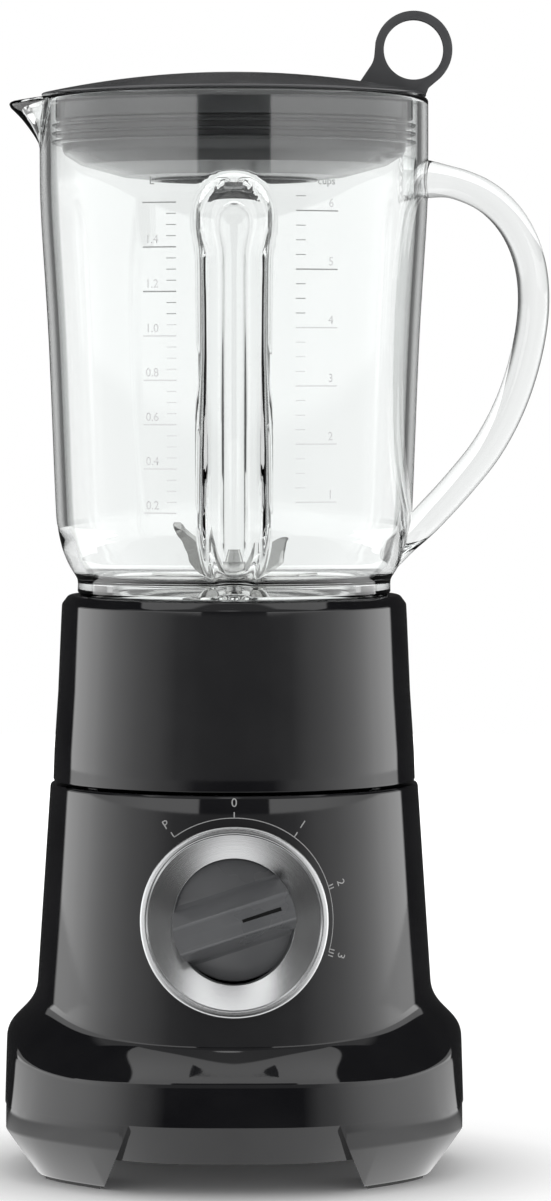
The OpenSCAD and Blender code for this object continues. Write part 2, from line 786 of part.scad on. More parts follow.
// Wedge from the jug's wall at distance root_x to the spout's tip, thinned by inset, its top at the height top
module spout(root_x, inset, top) {
    half_w = 19 - inset;
    tip_x = spout_reach - 1.6;
    hull() {
        translate([-root_x, -half_w, rim_z - 10 + inset]) cube([1, 2 * half_w, top - rim_z + 10 - inset]);
        translate([-root_x, -4, rim_z - 24 + 2 * inset]) cube([1, 8, 14]);
        translate([-tip_x + 1.2 * inset, 0, rim_z - 5.4 + 0.6 * inset])
            cylinder(r = 1.6, h = max(1.8, top - rim_z), $fn = 24);
    }
}

module glass_jug() {
    color(clear_glass) difference() {
        union() {
            rotate_extrude() polygon(glass_outline);
            spout(mouth_r - 2, 0, rim_z);
            flat_sweep(spline(handle_points, 3), handle_half_t, handle_half_w, 16, 2.6);
        }
        difference() {
            rotate_extrude() polygon(cavity_outline);
            flute_rods(flute_r + glass_t);
        }
        flute_rods(flute_r);
        spout(mouth_r - 5, 2.4, rim_z + 8);
    }
}

module jug_gasket() {
    color([0.8, 0.8, 0.78]) tube(neck_r, neck_bore_r, pocket_z + base_plate_t, neck_z);
}

module blade_base() {
    color(steel) rotate_extrude() polygon([
        [bush_r, hub_low_z], [hub_r, hub_low_z], [hub_r, pocket_z], [neck_r + 0.4, pocket_z],
        [neck_r + 0.4, pocket_z + base_plate_t], [hub_r + 6, pocket_z + base_plate_t],
        [hub_r + 1, pocket_z + 8], [hub_r - 1, hub_top_z - 1.5], [hub_r - 2.5, hub_top_z], [bush_r, hub_top_z]
    ]);
}

module blade_bushes() {
    color(brass) {
        tube(bush_r, shaft_r + running, hub_low_z, hub_low_z + bush_h);
        tube(bush_r, shaft_r + running, hub_top_z - bush_h - 3, hub_top_z - 3);
    }
}

module shaft_seal() {
    color(rubber_black) tube(bush_r, shaft_r + 0.3, hub_top_z - 3, hub_top_z);
}

// ---- Blades ----

blade_t = 1.6;
level_z = hub_top_z + 0.8;
swept_z = level_z + blade_t + 1;
nut_z = swept_z + blade_t;

module blade_shaft() {
    color(steel) {
        translate([0, 0, driven_z + 2]) cylinder(r = shaft_r, h = nut_z + 6 - driven_z - 2);
    }
}

// One wing that leaves the hub level, bends by rise degrees and ends in a slanted point
module blade_wing(reach, rise) {
    bend_x = 11;
    half_w = 5.5;
    tip_x = bend_x + reach * cos(rise);
    tip_z = reach * sin(rise);
    intersection() {
        rotate([90, 0, 0]) linear_extrude(height = 2 * half_w, center = true) polygon([
            [-1, 0], [bend_x, 0], [tip_x, tip_z], [tip_x - blade_t * sin(rise), tip_z + blade_t * cos(rise)],
            [bend_x - blade_t * tan(rise / 2), blade_t], [-1, blade_t]
        ]);
        translate([0, 0, -1]) linear_extrude(height = tip_z + 4) polygon([
            [-2, -half_w - 1], [tip_x - 7, -half_w - 1], [tip_x - 6, -half_w], [tip_x, -1.5], [tip_x - 1.5, 1.5],
            [bend_x, half_w + 1], [-2, half_w + 1]
        ]);
    }
}

module blade_pair(z, turn, reaches, rises) {
    color(steel) difference() {
        translate([0, 0, z]) for (i = [0, 1]) rotate([0, 0, turn + 180 * i]) blade_wing(reaches[i], rises[i]);
        translate([0, 0, z - 5]) cylinder(r = shaft_r, h = 12);
    }
}

module level_blade() { blade_pair(level_z, -12, [20, 20], [7, 4]); }

module upswept_blade() { blade_pair(swept_z, 38, [17, 25], [38, 52]); }

module blade_washers() {
    color(steel) {
        tube(6.5, shaft_r, level_z + blade_t, swept_z);
        tube(6, shaft_r, hub_low_z - 1, hub_low_z - 0.3);
    }
}

module blade_nut() {
    color(steel) difference() {
        union() {
            translate([0, 0, nut_z]) cylinder(r = 7, h = 4, $fn = 6);
            translate([0, 0, nut_z + 4 - eps]) cylinder(r1 = 5.6, r2 = 3.4, h = 4.5);
        }
        translate([0, 0, nut_z - 1]) cylinder(r = shaft_r, h = 7);
    }
}

module retaining_clip() {
    color(steel) difference() {
        tube(6, shaft_r, hub_low_z - 2, hub_low_z - 1);
        translate([0, -1.5, hub_low_z - 3]) cube([8, 3, 4]);
    }
}

module driven_coupling() {
    disc_h = 5;
    color(rubber_black) {
        difference() {
            translate([0, 0, driven_z]) cylinder(r = coupling_r, h = disc_h);
            translate([0, 0, driven_z + 2]) cylinder(r = shaft_r, h = disc_h);
        }
        translate([0, 0, driven_z - jaw_h + eps]) jaws(45);
    }
}

// ---- Lid and cap ----

function dome_z(r) = rim_z + 2.6 + (lid_top_z - rim_z - 2.6) * (1 - pow(r / lid_r, 2));

// Rebate in the lid that takes the cap's flange
rebate_r = tube_r + 1;
rebate_z = dome_z(rebate_r) - 2.8;

module lid_cover() {
    color(dark_grey) difference() {
        union() {
            rotate_extrude() polygon(concat(
                [[cap_hole_r, rebate_z], [rebate_r, rebate_z]],
                [for (r = [rebate_r, 38, 45, 52, 60, 66]) [r, dome_z(r)]],
                [[lid_r - 0.6, rim_z + 2.4], [lid_r, rim_z + 1.6], [lid_r, rim_z + 0.4], [plug_r + 2, rim_z + 0.4],
                 [plug_r + 2, rim_z - 9], [plug_r, rim_z - 9], [plug_r, rim_z - 18],
                 [plug_r - 2, plug_low_z], [plug_r - 5, plug_low_z],
                 [plug_r - 5, rim_z + 1], [tube_r + 2, rim_z + 3.5], [tube_r, rim_z + 1], [tube_r, tube_low_z],
                 [cap_hole_r, tube_low_z]]
            ));
            rotate([90, 0, 0]) linear_extrude(height = ring_t, center = true) polygon([
                [44, rim_z + 5], [50.2, ring_z - 4], [56, ring_z], [72, ring_z], [ring_x + 8.6, ring_z - 11],
                [ring_x + 5.5, rim_z + 5], [lid_r - 0.5, rim_z + 1]
            ]);
            translate([ring_x, 0, ring_z]) rotate([90, 0, 0]) cylinder(r = ring_r, h = ring_t, center = true);
        }
        translate([ring_x, 0, ring_z]) rotate([90, 0, 0]) cylinder(r = ring_hole_r, h = 20, center = true);
    }
}

module lid_seal() {
    root = plug_r + 0.8;
    lip = mouth_r - glass_t - 0.3;
    color(dark_grey) rotate_extrude() polygon(concat(
        [[plug_r, rim_z - 9]],
        [for (z = [rim_z - 10.8:-3:rim_z - 16.8])
            each [[root, z + 0.9], [lip, z + 0.4], [lip, z - 0.2], [root, z - 0.5]]],
        [[plug_r, rim_z - 18]]
    ));
}

module measuring_cap() {
    wall_r = cap_hole_r - 1;
    flange_r = rebate_r - 0.4;
    color(dark_grey) rotate_extrude() polygon(concat(
        [[0, lid_top_z - 3], [wall_r - 2.2, lid_top_z - 4],
         [wall_r - 3, tube_low_z + 3], [wall_r - 1, tube_low_z + 3],
         [wall_r, lid_top_z - 8], [wall_r, rebate_z + 0.4], [flange_r, rebate_z + 0.4]],
        [for (r = [flange_r, 24, 18, 12, 6, 0]) [r, dome_z(r)]]
    ));
}

module cap_seal() {
    wall_r = cap_hole_r - 1;
    color(rubber_black) tube(wall_r + 0.65, wall_r, lid_top_z - 13, lid_top_z - 11);
}

motor_housing();
jug_seat();
bottom_cover();
rubber_feet();
cover_screws();
dial_bezel();
speed_switch();
switch_nut();
lower_bracket();
upper_bracket();
lower_bearing();
upper_bearing();
stator_core();
field_coils();
brush_holders();
carbon_brushes();
motor_bolts();
motor_mounts();
mount_screws();
fan_shroud();
drip_seal();
suppression_capacitor();
terminal_block();
motor_leads();
cord_gland();
motor_shaft();
rotor_core();
rotor_windings();
commutator();
cooling_fan();
fan_nut();
drive_coupling();
speed_dial();
switch_spindle();
glass_jug();
jug_collar();
jug_gasket();
blade_base();
blade_bushes();
shaft_seal();
blade_shaft();
upswept_blade();
level_blade();
blade_washers();
blade_nut();
retaining_clip();
driven_coupling();
lid_cover();
lid_seal();
measuring_cap();
cap_seal();
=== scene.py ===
import json
import math

import bmesh
import bpy
import numpy as np
from mathutils import Matrix, Vector

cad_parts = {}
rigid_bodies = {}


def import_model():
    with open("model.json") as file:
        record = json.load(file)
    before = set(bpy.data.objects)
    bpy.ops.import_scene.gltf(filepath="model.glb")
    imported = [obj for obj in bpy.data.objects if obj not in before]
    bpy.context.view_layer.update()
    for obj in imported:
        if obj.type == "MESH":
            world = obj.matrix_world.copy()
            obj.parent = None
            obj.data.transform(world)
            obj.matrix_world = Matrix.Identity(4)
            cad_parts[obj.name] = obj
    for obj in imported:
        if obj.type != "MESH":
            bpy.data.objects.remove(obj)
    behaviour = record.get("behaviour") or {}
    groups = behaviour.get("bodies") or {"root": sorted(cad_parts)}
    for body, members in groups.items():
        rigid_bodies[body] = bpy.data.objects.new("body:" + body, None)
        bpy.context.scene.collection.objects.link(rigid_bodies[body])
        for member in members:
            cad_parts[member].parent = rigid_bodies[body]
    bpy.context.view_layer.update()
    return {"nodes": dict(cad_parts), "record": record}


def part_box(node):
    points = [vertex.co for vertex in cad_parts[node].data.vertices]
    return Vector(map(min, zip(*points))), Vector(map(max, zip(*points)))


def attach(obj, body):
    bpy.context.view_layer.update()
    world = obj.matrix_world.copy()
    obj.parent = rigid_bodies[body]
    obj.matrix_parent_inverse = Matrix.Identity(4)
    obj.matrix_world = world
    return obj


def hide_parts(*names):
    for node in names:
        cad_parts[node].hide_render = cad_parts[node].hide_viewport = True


# A countertop blender. Metres, +Z up, the dial towards -Y and the handle towards +X.

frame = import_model()
MM = 0.001

# ---- Driving sizes, in millimetres, as the frame has them ----

# Motor base: a band with eight rounded corners on four feet, and a round tower above its shoulder
LEDGE_HALF, LEDGE_Z, SIDE_LEDGE_Z, CORNER_POWER = 82.2, 41.0, 47.4, 12
FOOT_HALF, FOOT_Z, FOOT_TAPER, FOOT_INNER, SIDE_FOOT_INNER = 83.2, 17.0, 0.65, 46.5, 28.0
ARCH_CREASE_Z, ARCH_Z, PAD_T = 25.5, 11.5, 1.5
ARCH_HALF = FOOT_HALF - (ARCH_CREASE_Z - FOOT_Z) * (FOOT_HALF - LEDGE_HALF) / (LEDGE_Z - FOOT_Z)
TOWER_FOOT_R, FLARE_Z, FRONT_FLARE_Z, TOWER_TOP_R, TOWER_Z = 70.9, 68.3, 52.5, 66.2, 139.5
WALL, COVER_Z, CORD_Z = 2.6, ARCH_Z + 0.5, 30.5

# Dial: its height, radii, distances in front of the axis, and its rest in degrees clockwise from the top
DIAL_Z, BEZEL_R, BEZEL_H, DIAL_R = 95.7, 33.4, 2.6, 21.6
POCKET_R, POCKET_BACK, GRIP_BACK, GRIP_FRONT, DIAL_REST = DIAL_R + 0.8, 56.5, 62.0, 75.0, 72.0

# Seat on top of the tower, and the collar round the neck of the jug
SEAT_R, SEAT_Z, WELL_R, WELL_FLOOR_Z = 50.0, 161.5, 22.0, 149.5
COLLAR_LOW_R, COLLAR_TOP_R, COLLAR_Z, SEAM = 65.2, 62.3, 207.5, 0.9
POCKET_Z, NECK_R, NECK_BORE_R, NECK_Z = 185.5, 48.5, 44.0, 191.0

# Jug: the line of its outer wall, its rim and spout, its flutes and its handle's path in (x, z)
BASE_R, JUG_LOW_R, MOUTH_R, RIM_Z, GLASS_T, SPOUT_REACH = 56.3, 64.3, 69.7, 385.5, 3.8, 80.6
JUG_WALL = [(JUG_LOW_R, 241.5), (66.6, 298.5), (69.3, 343.5), (MOUTH_R, 363.5)]
FLUTE_R, FLUTE_DEPTH, FLUTE_LENGTH, FLUTE_LEAN = 12.5, 9.0, 129.0, math.radians(3)
FLUTE_LOW_Z, FLUTE_ROOT_Z, FLUTE_HEAD_Z = 212.0, 225.5, 327.0
HANDLE_HALF_W, HANDLE_HALF_T = 9.0, 5.6
HANDLE_PATH = [
    (60, 356.5), (72, 356.1), (82, 354.1), (92, 349.1), (100.5, 340), (106, 327.5), (107.7, 312.5),
    (105.6, 295.5), (100, 277), (91.5, 260.5), (80.5, 246.5), (69, 234), (61.5, 226.2), (55.5, 218.5),
]

# Lid: its dome is drawn DOME_DROP below the top of the solid's
LID_R, LID_TOP_Z, DOME_DROP, BRIM_T, PLUG_R, CAP_HOLE_R = 69.0, 395.7, 1.4, 1.2, 62.0, 27.6
RING_X, RING_Z, RING_R, RING_HOLE_R, RING_T = 64.4, 402.6, 13.9, 10.7, 5.0


# ---- Node trees ----

def connect(tree, node, inputs):
    """Gives a node's inputs plain values, or links them from other nodes' outputs."""
    for socket, value in inputs.items():
        if isinstance(value, bpy.types.NodeSocket):
            tree.links.new(value, node.inputs[socket])
        else:
            node.inputs[socket].default_value = value


def add_node(tree, kind, inputs=None, **settings):
    """A new node of a shader or geometry tree, with its settings and its inputs."""
    node = tree.nodes.new(kind)
    for key, value in settings.items():
        setattr(node, key, value)
    connect(tree, node, inputs or {})
    return node


def calculate(tree, operation, *values):
    """The result of a sum, product or other step on plain values and other nodes' outputs."""
    return add_node(tree, "ShaderNodeMath", dict(enumerate(values)), operation=operation).outputs[0]


def axis_distance(tree, split):
    """Distance from the Z axis, of a position already taken apart."""
    flat = add_node(tree, "ShaderNodeCombineXYZ", {"X": split.outputs["X"], "Y": split.outputs["Y"]})
    return add_node(tree, "ShaderNodeVectorMath", {0: flat.outputs[0]}, operation="LENGTH").outputs["Value"]


# ---- Materials ----

def principled(name, colour, roughness, metallic=0.0, **more):
    """A material, its tree and its Principled shader, with plain values on the shader's inputs."""
    made = bpy.data.materials.new(name)
    made.use_nodes = True
    tree = made.node_tree
    shader = tree.nodes["Principled BSDF"]
    connect(tree, shader, {"Base Color": (*colour, 1), "Roughness": roughness, "Metallic": metallic})
    connect(tree, shader, {socket.replace("_", " "): value for socket, value in more.items()})
    return made, tree, shader


def object_noise(tree, scale, detail=3.0, stretch=(1, 1, 1)):
    """Noise over the piece's own coordinates, in features of about 1/scale metres."""
    place = add_node(tree, "ShaderNodeTexCoord")
    mapping = add_node(tree, "ShaderNodeMapping", {"Vector": place.outputs["Object"], "Scale": stretch})
    noise = add_node(tree, "ShaderNodeTexNoise", {
        "Vector": mapping.outputs["Vector"], "Scale": scale, "Detail": detail})
    return noise.outputs["Fac"]


def vary(tree, source, low, high):
    """Spreads the middle of a 0 to 1 source over low to high."""
    spread = add_node(tree, "ShaderNodeMapRange", {
        "Value": source, "From Min": 0.3, "From Max": 0.7, "To Min": low, "To Max": high})
    return spread.outputs["Result"]


def tint(tree, source, dark, light):
    """Blends two close colours by the middle of a 0 to 1 source."""
    ramp = add_node(tree, "ShaderNodeValToRGB", {"Fac": source})
    for stop, place, colour in zip(ramp.color_ramp.elements, (0.35, 0.65), (dark, light)):
        stop.position = place
        stop.color = (*colour, 1)
    return ramp.outputs["Color"]


def bump(tree, source, depth, strength=1.0):
    """A surface raised by up to depth millimetres where the source is 1."""
    relief = add_node(tree, "ShaderNodeBump", {"Height": source, "Strength": strength, "Distance": depth * MM})
    return relief.outputs["Normal"]


def moulded(name, dark, light, roughness, grain, depth):
    """Moulded plastic or rubber: a close blend of two colours, a fine grain and a slightly uneven sheen."""
    made, tree, shader = principled(name, dark, roughness[0])
    cloud = object_noise(tree, 45)
    fine = object_noise(tree, grain, 2)
    connect(tree, shader, {
        "Base Color": tint(tree, cloud, dark, light),
        "Roughness": vary(tree, cloud, *roughness),
        "Normal": bump(tree, fine, depth)})
    return made


def spun_metal(name, dark, light, roughness, spacing, anisotropic=0.0, centre=(0, 0, 0), turn=(0, 0, 0)):
    """Metal with fine turning marks in rings round an axis: local Z after the turn, through the centre."""
    made, tree, shader = principled(name, dark, roughness[0], 1.0, Anisotropic=anisotropic)
    place = add_node(tree, "ShaderNodeTexCoord")
    mapping = add_node(tree, "ShaderNodeMapping", {
        "Vector": place.outputs["Object"], "Location": centre, "Rotation": turn}, vector_type="TEXTURE")
    split = add_node(tree, "ShaderNodeSeparateXYZ", {"Vector": mapping.outputs["Vector"]})
    noise = add_node(tree, "ShaderNodeTexNoise", {
        "W": axis_distance(tree, split), "Scale": 1 / (spacing * MM), "Detail": 2.0}, noise_dimensions="1D")
    marks = noise.outputs["Fac"]
    connect(tree, shader, {
        "Base Color": tint(tree, marks, dark, light),
        "Roughness": vary(tree, marks, *roughness),
        "Normal": bump(tree, marks, 0.01, 0.3)})
    if anisotropic:
        axis = "Z" if turn == (0, 0, 0) else "Y"
        grain = add_node(tree, "ShaderNodeTangent", direction_type="RADIAL", axis=axis)
        connect(tree, shader, {"Tangent": grain.outputs["Tangent"]})
    return made


def clear_glass(name):
    """Pressed glass with the faint waviness of its mould."""
    made, tree, shader = principled(name, (0.97, 0.985, 0.98), 0.0, IOR=1.5, Transmission_Weight=1.0)
    wave = object_noise(tree, 28, 1, (1, 1, 0.35))
    connect(tree, shader, {"Normal": bump(tree, wave, 0.12, 0.35)})
    return made


# Two close colours, the ends of the roughness, and the grain's scale and depth in millimetres
MOULDED = {
    "gloss_black": ((0.006, 0.006, 0.007), (0.009, 0.009, 0.010), (0.035, 0.06), 900, 0.002),
    "matte_black": ((0.018, 0.018, 0.019), (0.026, 0.026, 0.027), (0.45, 0.6), 2500, 0.03),
    "rubber": ((0.02, 0.02, 0.02), (0.03, 0.03, 0.03), (0.65, 0.8), 1800, 0.04),
    "gasket": ((0.6, 0.59, 0.56), (0.7, 0.69, 0.66), (0.4, 0.5), 1500, 0.02),
    "switch_body": ((0.62, 0.58, 0.48), (0.7, 0.66, 0.56), (0.4, 0.5), 1500, 0.02),
    "capacitor_yellow": ((0.7, 0.52, 0.06), (0.78, 0.6, 0.1), (0.25, 0.35), 1200, 0.01),
    "carbon": ((0.02, 0.02, 0.02), (0.04, 0.04, 0.04), (0.5, 0.65), 2000, 0.02),
    "lead_red": ((0.4, 0.02, 0.015), (0.5, 0.035, 0.02), (0.35, 0.45), 1500, 0.01),
    "dial_grey": ((0.085, 0.087, 0.091), (0.105, 0.107, 0.111), (0.24, 0.34), 1400, 0.012),
    "lid_grey": ((0.066, 0.067, 0.07), (0.08, 0.081, 0.084), (0.16, 0.24), 1400, 0.008),
    "print_grey": ((0.3, 0.3, 0.3), (0.36, 0.36, 0.36), (0.5, 0.6), 2500, 0.005),
    "glass_print": ((0.62, 0.63, 0.63), (0.7, 0.71, 0.71), (0.5, 0.6), 2500, 0.005),
    "pointer_black": ((0.004, 0.004, 0.004), (0.008, 0.008, 0.008), (0.3, 0.4), 1500, 0.005),
}
# Two close colours, the ends of the roughness and the spacing of the turning marks in millimetres
SPUN = {
    "steel": ((0.5, 0.51, 0.52), (0.62, 0.63, 0.64), (0.2, 0.35), 0.3),
    "stainless": ((0.66, 0.66, 0.65), (0.76, 0.76, 0.75), (0.07, 0.13), 0.25),
    "bezel_metal": ((0.5, 0.505, 0.51), (0.6, 0.605, 0.61), (0.2, 0.27), 0.22,
                    0.85, (0, 0, DIAL_Z * MM), (math.radians(90), 0, 0)),
    "core_iron": ((0.2, 0.2, 0.21), (0.3, 0.3, 0.31), (0.4, 0.55), 0.5),
    "copper": ((0.6, 0.24, 0.1), (0.75, 0.34, 0.17), (0.25, 0.4), 0.7),
    "brass": ((0.62, 0.43, 0.17), (0.74, 0.54, 0.25), (0.2, 0.32), 0.3),
}
FINISH = {name: moulded(name, *look) for name, look in MOULDED.items()}
FINISH.update((name, spun_metal(name, *look)) for name, look in SPUN.items())
FINISH["glass"] = clear_glass("glass")


# ---- Making meshes ----

def add_piece(name, points, faces, finish, smooth=35):
    """A mesh piece from points in millimetres. Edges sharper than smooth degrees stay sharp."""
    mesh = bpy.data.meshes.new(name)
    mesh.from_pydata([tuple(c * MM for c in p) for p in points], [], [tuple(int(i) for i in f) for f in faces])
    mesh.validate()
    mesh.materials.append(FINISH[finish])
    piece = bpy.data.objects.new(name, mesh)
    bpy.context.scene.collection.objects.link(piece)
    shade(piece, smooth)
    return piece


def shade(piece, smooth=35):
    piece.data.shade_smooth()
    piece.data.set_sharp_from_angle(angle=math.radians(smooth))


def clean(piece, merge=0.002, outwards=True):
    """Merges doubles, drops loose edges and turns every face outwards."""
    work = bmesh.new()
    work.from_mesh(piece.data)
    bmesh.ops.remove_doubles(work, verts=work.verts, dist=merge * MM)
    bmesh.ops.delete(work, geom=[edge for edge in work.edges if not edge.link_faces], context="EDGES")
    if outwards:
        bmesh.ops.recalc_face_normals(work, faces=work.faces)
    work.to_mesh(piece.data)
    work.free()


def settle(piece):
    """Replaces the piece's mesh by what its modifiers make of it, and removes the modifiers."""
    graph = bpy.context.evaluated_depsgraph_get()
    mesh = bpy.data.meshes.new_from_object(
        piece.evaluated_get(graph), preserve_all_data_layers=True, depsgraph=graph)
    piece.modifiers.clear()
    piece.data = mesh
    return piece


def combine(piece, other, operation):
    """Boolean of two closed pieces. The other one is used up."""
    step = piece.modifiers.new(operation.lower(), "BOOLEAN")
    step.operation = operation
    step.solver = "MANIFOLD"
    step.object = other
    settle(piece)
    bpy.data.objects.remove(other)


def soften(piece, width, segments=2, angle=40):
    """Rounds the sharp edges."""
    step = piece.modifiers.new("soften", "BEVEL")
    step.width = width * MM
    step.segments = segments
    step.limit_method = "ANGLE"
    step.angle_limit = math.radians(angle)
    step.use_clamp_overlap = True
    step.miter_outer = "MITER_ARC"
    shade(settle(piece))
    return piece


def finish_piece(piece, body, slot, *nodes):
    """The piece rides its body, and takes the place of the frame's nodes if it stands for some."""
    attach(piece, body)
    if nodes:
        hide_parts(*nodes)


def spline(points, steps):
    """Smooth curve through points, with steps parts to each span."""
    p = np.array(points, float)
    out = []
    for i in range(len(p) - 1):
        a, b, c, d = p[max(i - 1, 0)], p[i], p[i + 1], p[min(i + 2, len(p) - 1)]
        linear, square, cube = c - a, 2 * a - 5 * b + 4 * c - d, 3 * b - a - 3 * c + d
        for j in range(steps):
            u = j / steps
            out.append(0.5 * (2 * b + linear * u + square * u**2 + cube * u**3))
    return np.array(out + [p[-1]])


def rounded(outline, steps=4):
    """A closed outline whose points may carry a third value: the radius that rounds that corner."""
    out = []
    count = len(outline)
    for i, point in enumerate(outline):
        here = np.array(point[:2], float)
        radius = point[2] if len(point) > 2 else 0
        if not radius:
            out.append(tuple(here))
            continue
        back = np.array(outline[i - 1][:2], float) - here
        ahead = np.array(outline[(i + 1) % count][:2], float) - here
        reach_back, reach_ahead = np.linalg.norm(back), np.linalg.norm(ahead)
        back, ahead = back / reach_back, ahead / reach_ahead
        half = math.acos(float(np.clip(back @ ahead, -1, 1))) / 2
        cut = min(radius / math.tan(half), 0.49 * reach_back, 0.49 * reach_ahead)
        start, end = here + back * cut, here + ahead * cut
        for k in range(steps + 1):
            u = k / steps
            out.append(tuple((1 - u) ** 2 * start + 2 * (1 - u) * u * here + u**2 * end))
    return out


def circle(radius, count):
    """Points round a circle, as (across, up)."""
    turns = np.linspace(0, 2 * math.pi, count, endpoint=False)
    return [(radius * math.cos(t), radius * math.sin(t)) for t in turns]


def ring_skin(rings, closed_ends):
    """Faces over a stack of rings with the same count of points, the first one lowest, facing outwards."""
    count = len(rings[0])
    points = [tuple(p) for ring in rings for p in ring]
    faces = []
    for k in range(len(rings) - 1):
        for i in range(count):
            a, b = k * count + i, k * count + (i + 1) % count
            faces.append((a, b, b + count, a + count))
    if closed_ends:
        faces.append(tuple(range(count - 1, -1, -1)))
        faces.append(tuple((len(rings) - 1) * count + i for i in range(count)))
    return points, faces


def solid(name, rings, finish="gloss_black", closed_ends=True):
    """A closed piece skinned over a stack of rings. Without closed ends, the last ring is the first again."""
    piece = add_piece(name, *ring_skin(rings, closed_ends), finish)
    clean(piece)
    return piece


def turned(name, outline, finish, columns=160):
    """A closed outline of (radius, height) points turned round the Z axis. It runs counter-clockwise."""
    angles = np.linspace(0, 2 * math.pi, columns, endpoint=False)
    count = len(outline)
    points, faces = [], []
    for t in angles:
        points += [(r * math.cos(t), r * math.sin(t), z) for r, z in outline]
    for k in range(columns):
        n = (k + 1) % columns
        for i in range(count):
            j = (i + 1) % count
            faces.append((k * count + i, n * count + i, n * count + j, k * count + j))
    piece = add_piece(name, points, faces, finish)
    clean(piece)
    shade(piece)
    return piece


# ---- Geometry Nodes ----

class Tree:
    """A Geometry Nodes group with named inputs, built node by node."""

    def __init__(self, name, inputs):
        self.group = bpy.data.node_groups.new(name, "GeometryNodeTree")
        self.group.interface.new_socket("Geometry", in_out="OUTPUT", socket_type="NodeSocketGeometry")
        self.ids = {}
        for label, kind in inputs.items():
            socket = self.group.interface.new_socket(label, in_out="INPUT", socket_type="NodeSocket" + kind)
            self.ids[label] = socket.identifier
        self.given = self.group.nodes.new("NodeGroupInput")
        self.result = self.group.nodes.new("NodeGroupOutput")

    def add(self, kind, inputs, **settings):
        return add_node(self.group, kind, inputs, **settings)

    def math(self, operation, *values):
        return calculate(self.group, operation, *values)

    def value(self, label):
        return self.given.outputs[label]

    def row(self, axis):
        """Points from the first height upwards along an axis, a step apart."""
        start = self.add("ShaderNodeCombineXYZ", {axis: self.value("First Height")})
        pitch = self.add("ShaderNodeCombineXYZ", {axis: self.value("Step")})
        line = self.add("GeometryNodeMeshLine", {
            "Count": self.value("Count"), "Start Location": start.outputs[0], "Offset": pitch.outputs[0]})
        return line.outputs[0]

    def end(self, geometry, finish):
        whole = self.add("GeometryNodeRealizeInstances", {"Geometry": geometry})
        coated = self.add("GeometryNodeSetMaterial", {"Geometry": whole.outputs[0], "Material": finish})
        self.group.links.new(coated.outputs[0], self.result.inputs[0])

    def make(self, name, **values):
        """A plain mesh piece from the group, with the given inputs."""
        piece = bpy.data.objects.new(name, bpy.data.meshes.new(name))
        bpy.context.scene.collection.objects.link(piece)
        step = piece.modifiers.new(self.group.name, "NODES")
        step.node_group = self.group
        for label, value in values.items():
            step[self.ids[label.replace("_", " ")]] = value
        return settle(piece)


# ---- Motor base ----

def plan_radius(t, half):
    """Distance from the axis to a rounded octagon of the given half width, in direction t."""
    turns = np.radians([0, 45, 90, 135])
    return half * (np.abs(np.cos(t[:, None] - turns)) ** CORNER_POWER).sum(1) ** (-1 / CORNER_POWER)


def tower_radius(z):
    """Radius of the slightly tapered tower."""
    return TOWER_FOOT_R + (TOWER_TOP_R - TOWER_FOOT_R) * (z - FLARE_Z) / (TOWER_Z - FLARE_Z)


def level_ring(angles, z, half):
    return round_ring(angles, z, plan_radius(angles, half))


def round_ring(angles, z, radius):
    return np.stack([radius * np.cos(angles), radius * np.sin(angles), np.full(len(angles), z)], 1)


def shoulder_ring(angles, share, inset=0.0):
    """Ring of the shoulder at a share of its way up.

    The shoulder is a low shelf at the front and the back and a high hip at the sides. Its edge dips a little
    between them.
    """
    side = np.cos(angles) ** 4
    corner = np.sin(2 * angles) ** 2
    dip = 1.3
    edge_r = plan_radius(angles, LEDGE_HALF)
    edge_z = LEDGE_Z + (SIDE_LEDGE_Z - LEDGE_Z) * side**2 - dip * corner**2
    top_z = FRONT_FLARE_Z + (FLARE_Z - FRONT_FLARE_Z) * side
    # The four control points of a curve that starts at the ledge's edge and runs into the tower
    controls = [
        (edge_r, edge_z),
        (edge_r - 4.0 + 4.4 * side**2, edge_z + 3.6 + 5.6 * side**2),
        (72.4 - 0.9 * side, top_z - 3.9 - 6.9 * side),
        (tower_radius(top_z), top_z),
    ]
    weights = [(1 - share) ** 3, 3 * (1 - share) ** 2 * share, 3 * (1 - share) * share**2, share**3]
    r = sum(w * c[0] for w, c in zip(weights, controls)) - inset
    z = sum(w * c[1] for w, c in zip(weights, controls)) - 0.8 * inset
    return np.stack([r * np.cos(angles), r * np.sin(angles), z], 1)


def band_rings(angles, low_z, low_half, steps):
    """Rings of the upright band, from a level ring up to the ledge's crease, without the last one."""
    low = level_ring(angles, low_z, low_half)
    high = shoulder_ring(angles, 0.0)
    return [low + (high - low) * u for u in np.linspace(0, 1, steps, endpoint=False)]


def foot_gap(name, half):
    """A prism in the shape of the opening between two feet, along Y, with the given half width at the table."""
    top, slope, reach = ARCH_CREASE_Z + 2, 0.38, 100
    section = [(-half, -1), (half, -1), (half - slope * top, top), (slope * top - half, top)]
    return solid(name, [[(x, y, z) for x, z in section] for y in (reach, -reach)])


def disc_cutter(name, radius, y_front, y_back, height=DIAL_Z):
    """A closed cylinder along Y."""
    return solid(name, [[(x, y, height + z) for x, z in circle(radius, 96)] for y in (y_back, y_front)])


def housing_cavity(name, angles, low, wall):
    """The hollow inside the housing, open below, a wall's thickness within its skin."""
    rings = [level_ring(angles, low, ARCH_HALF - (ARCH_CREASE_Z - low) * FOOT_TAPER - wall),
             level_ring(angles, ARCH_CREASE_Z, ARCH_HALF - wall)]
    rings += [shoulder_ring(angles, s, wall) for s in np.linspace(0, 1, 7)]
    rings.append(round_ring(angles, TOWER_Z - 3, TOWER_TOP_R - wall))
    return solid(name, rings)


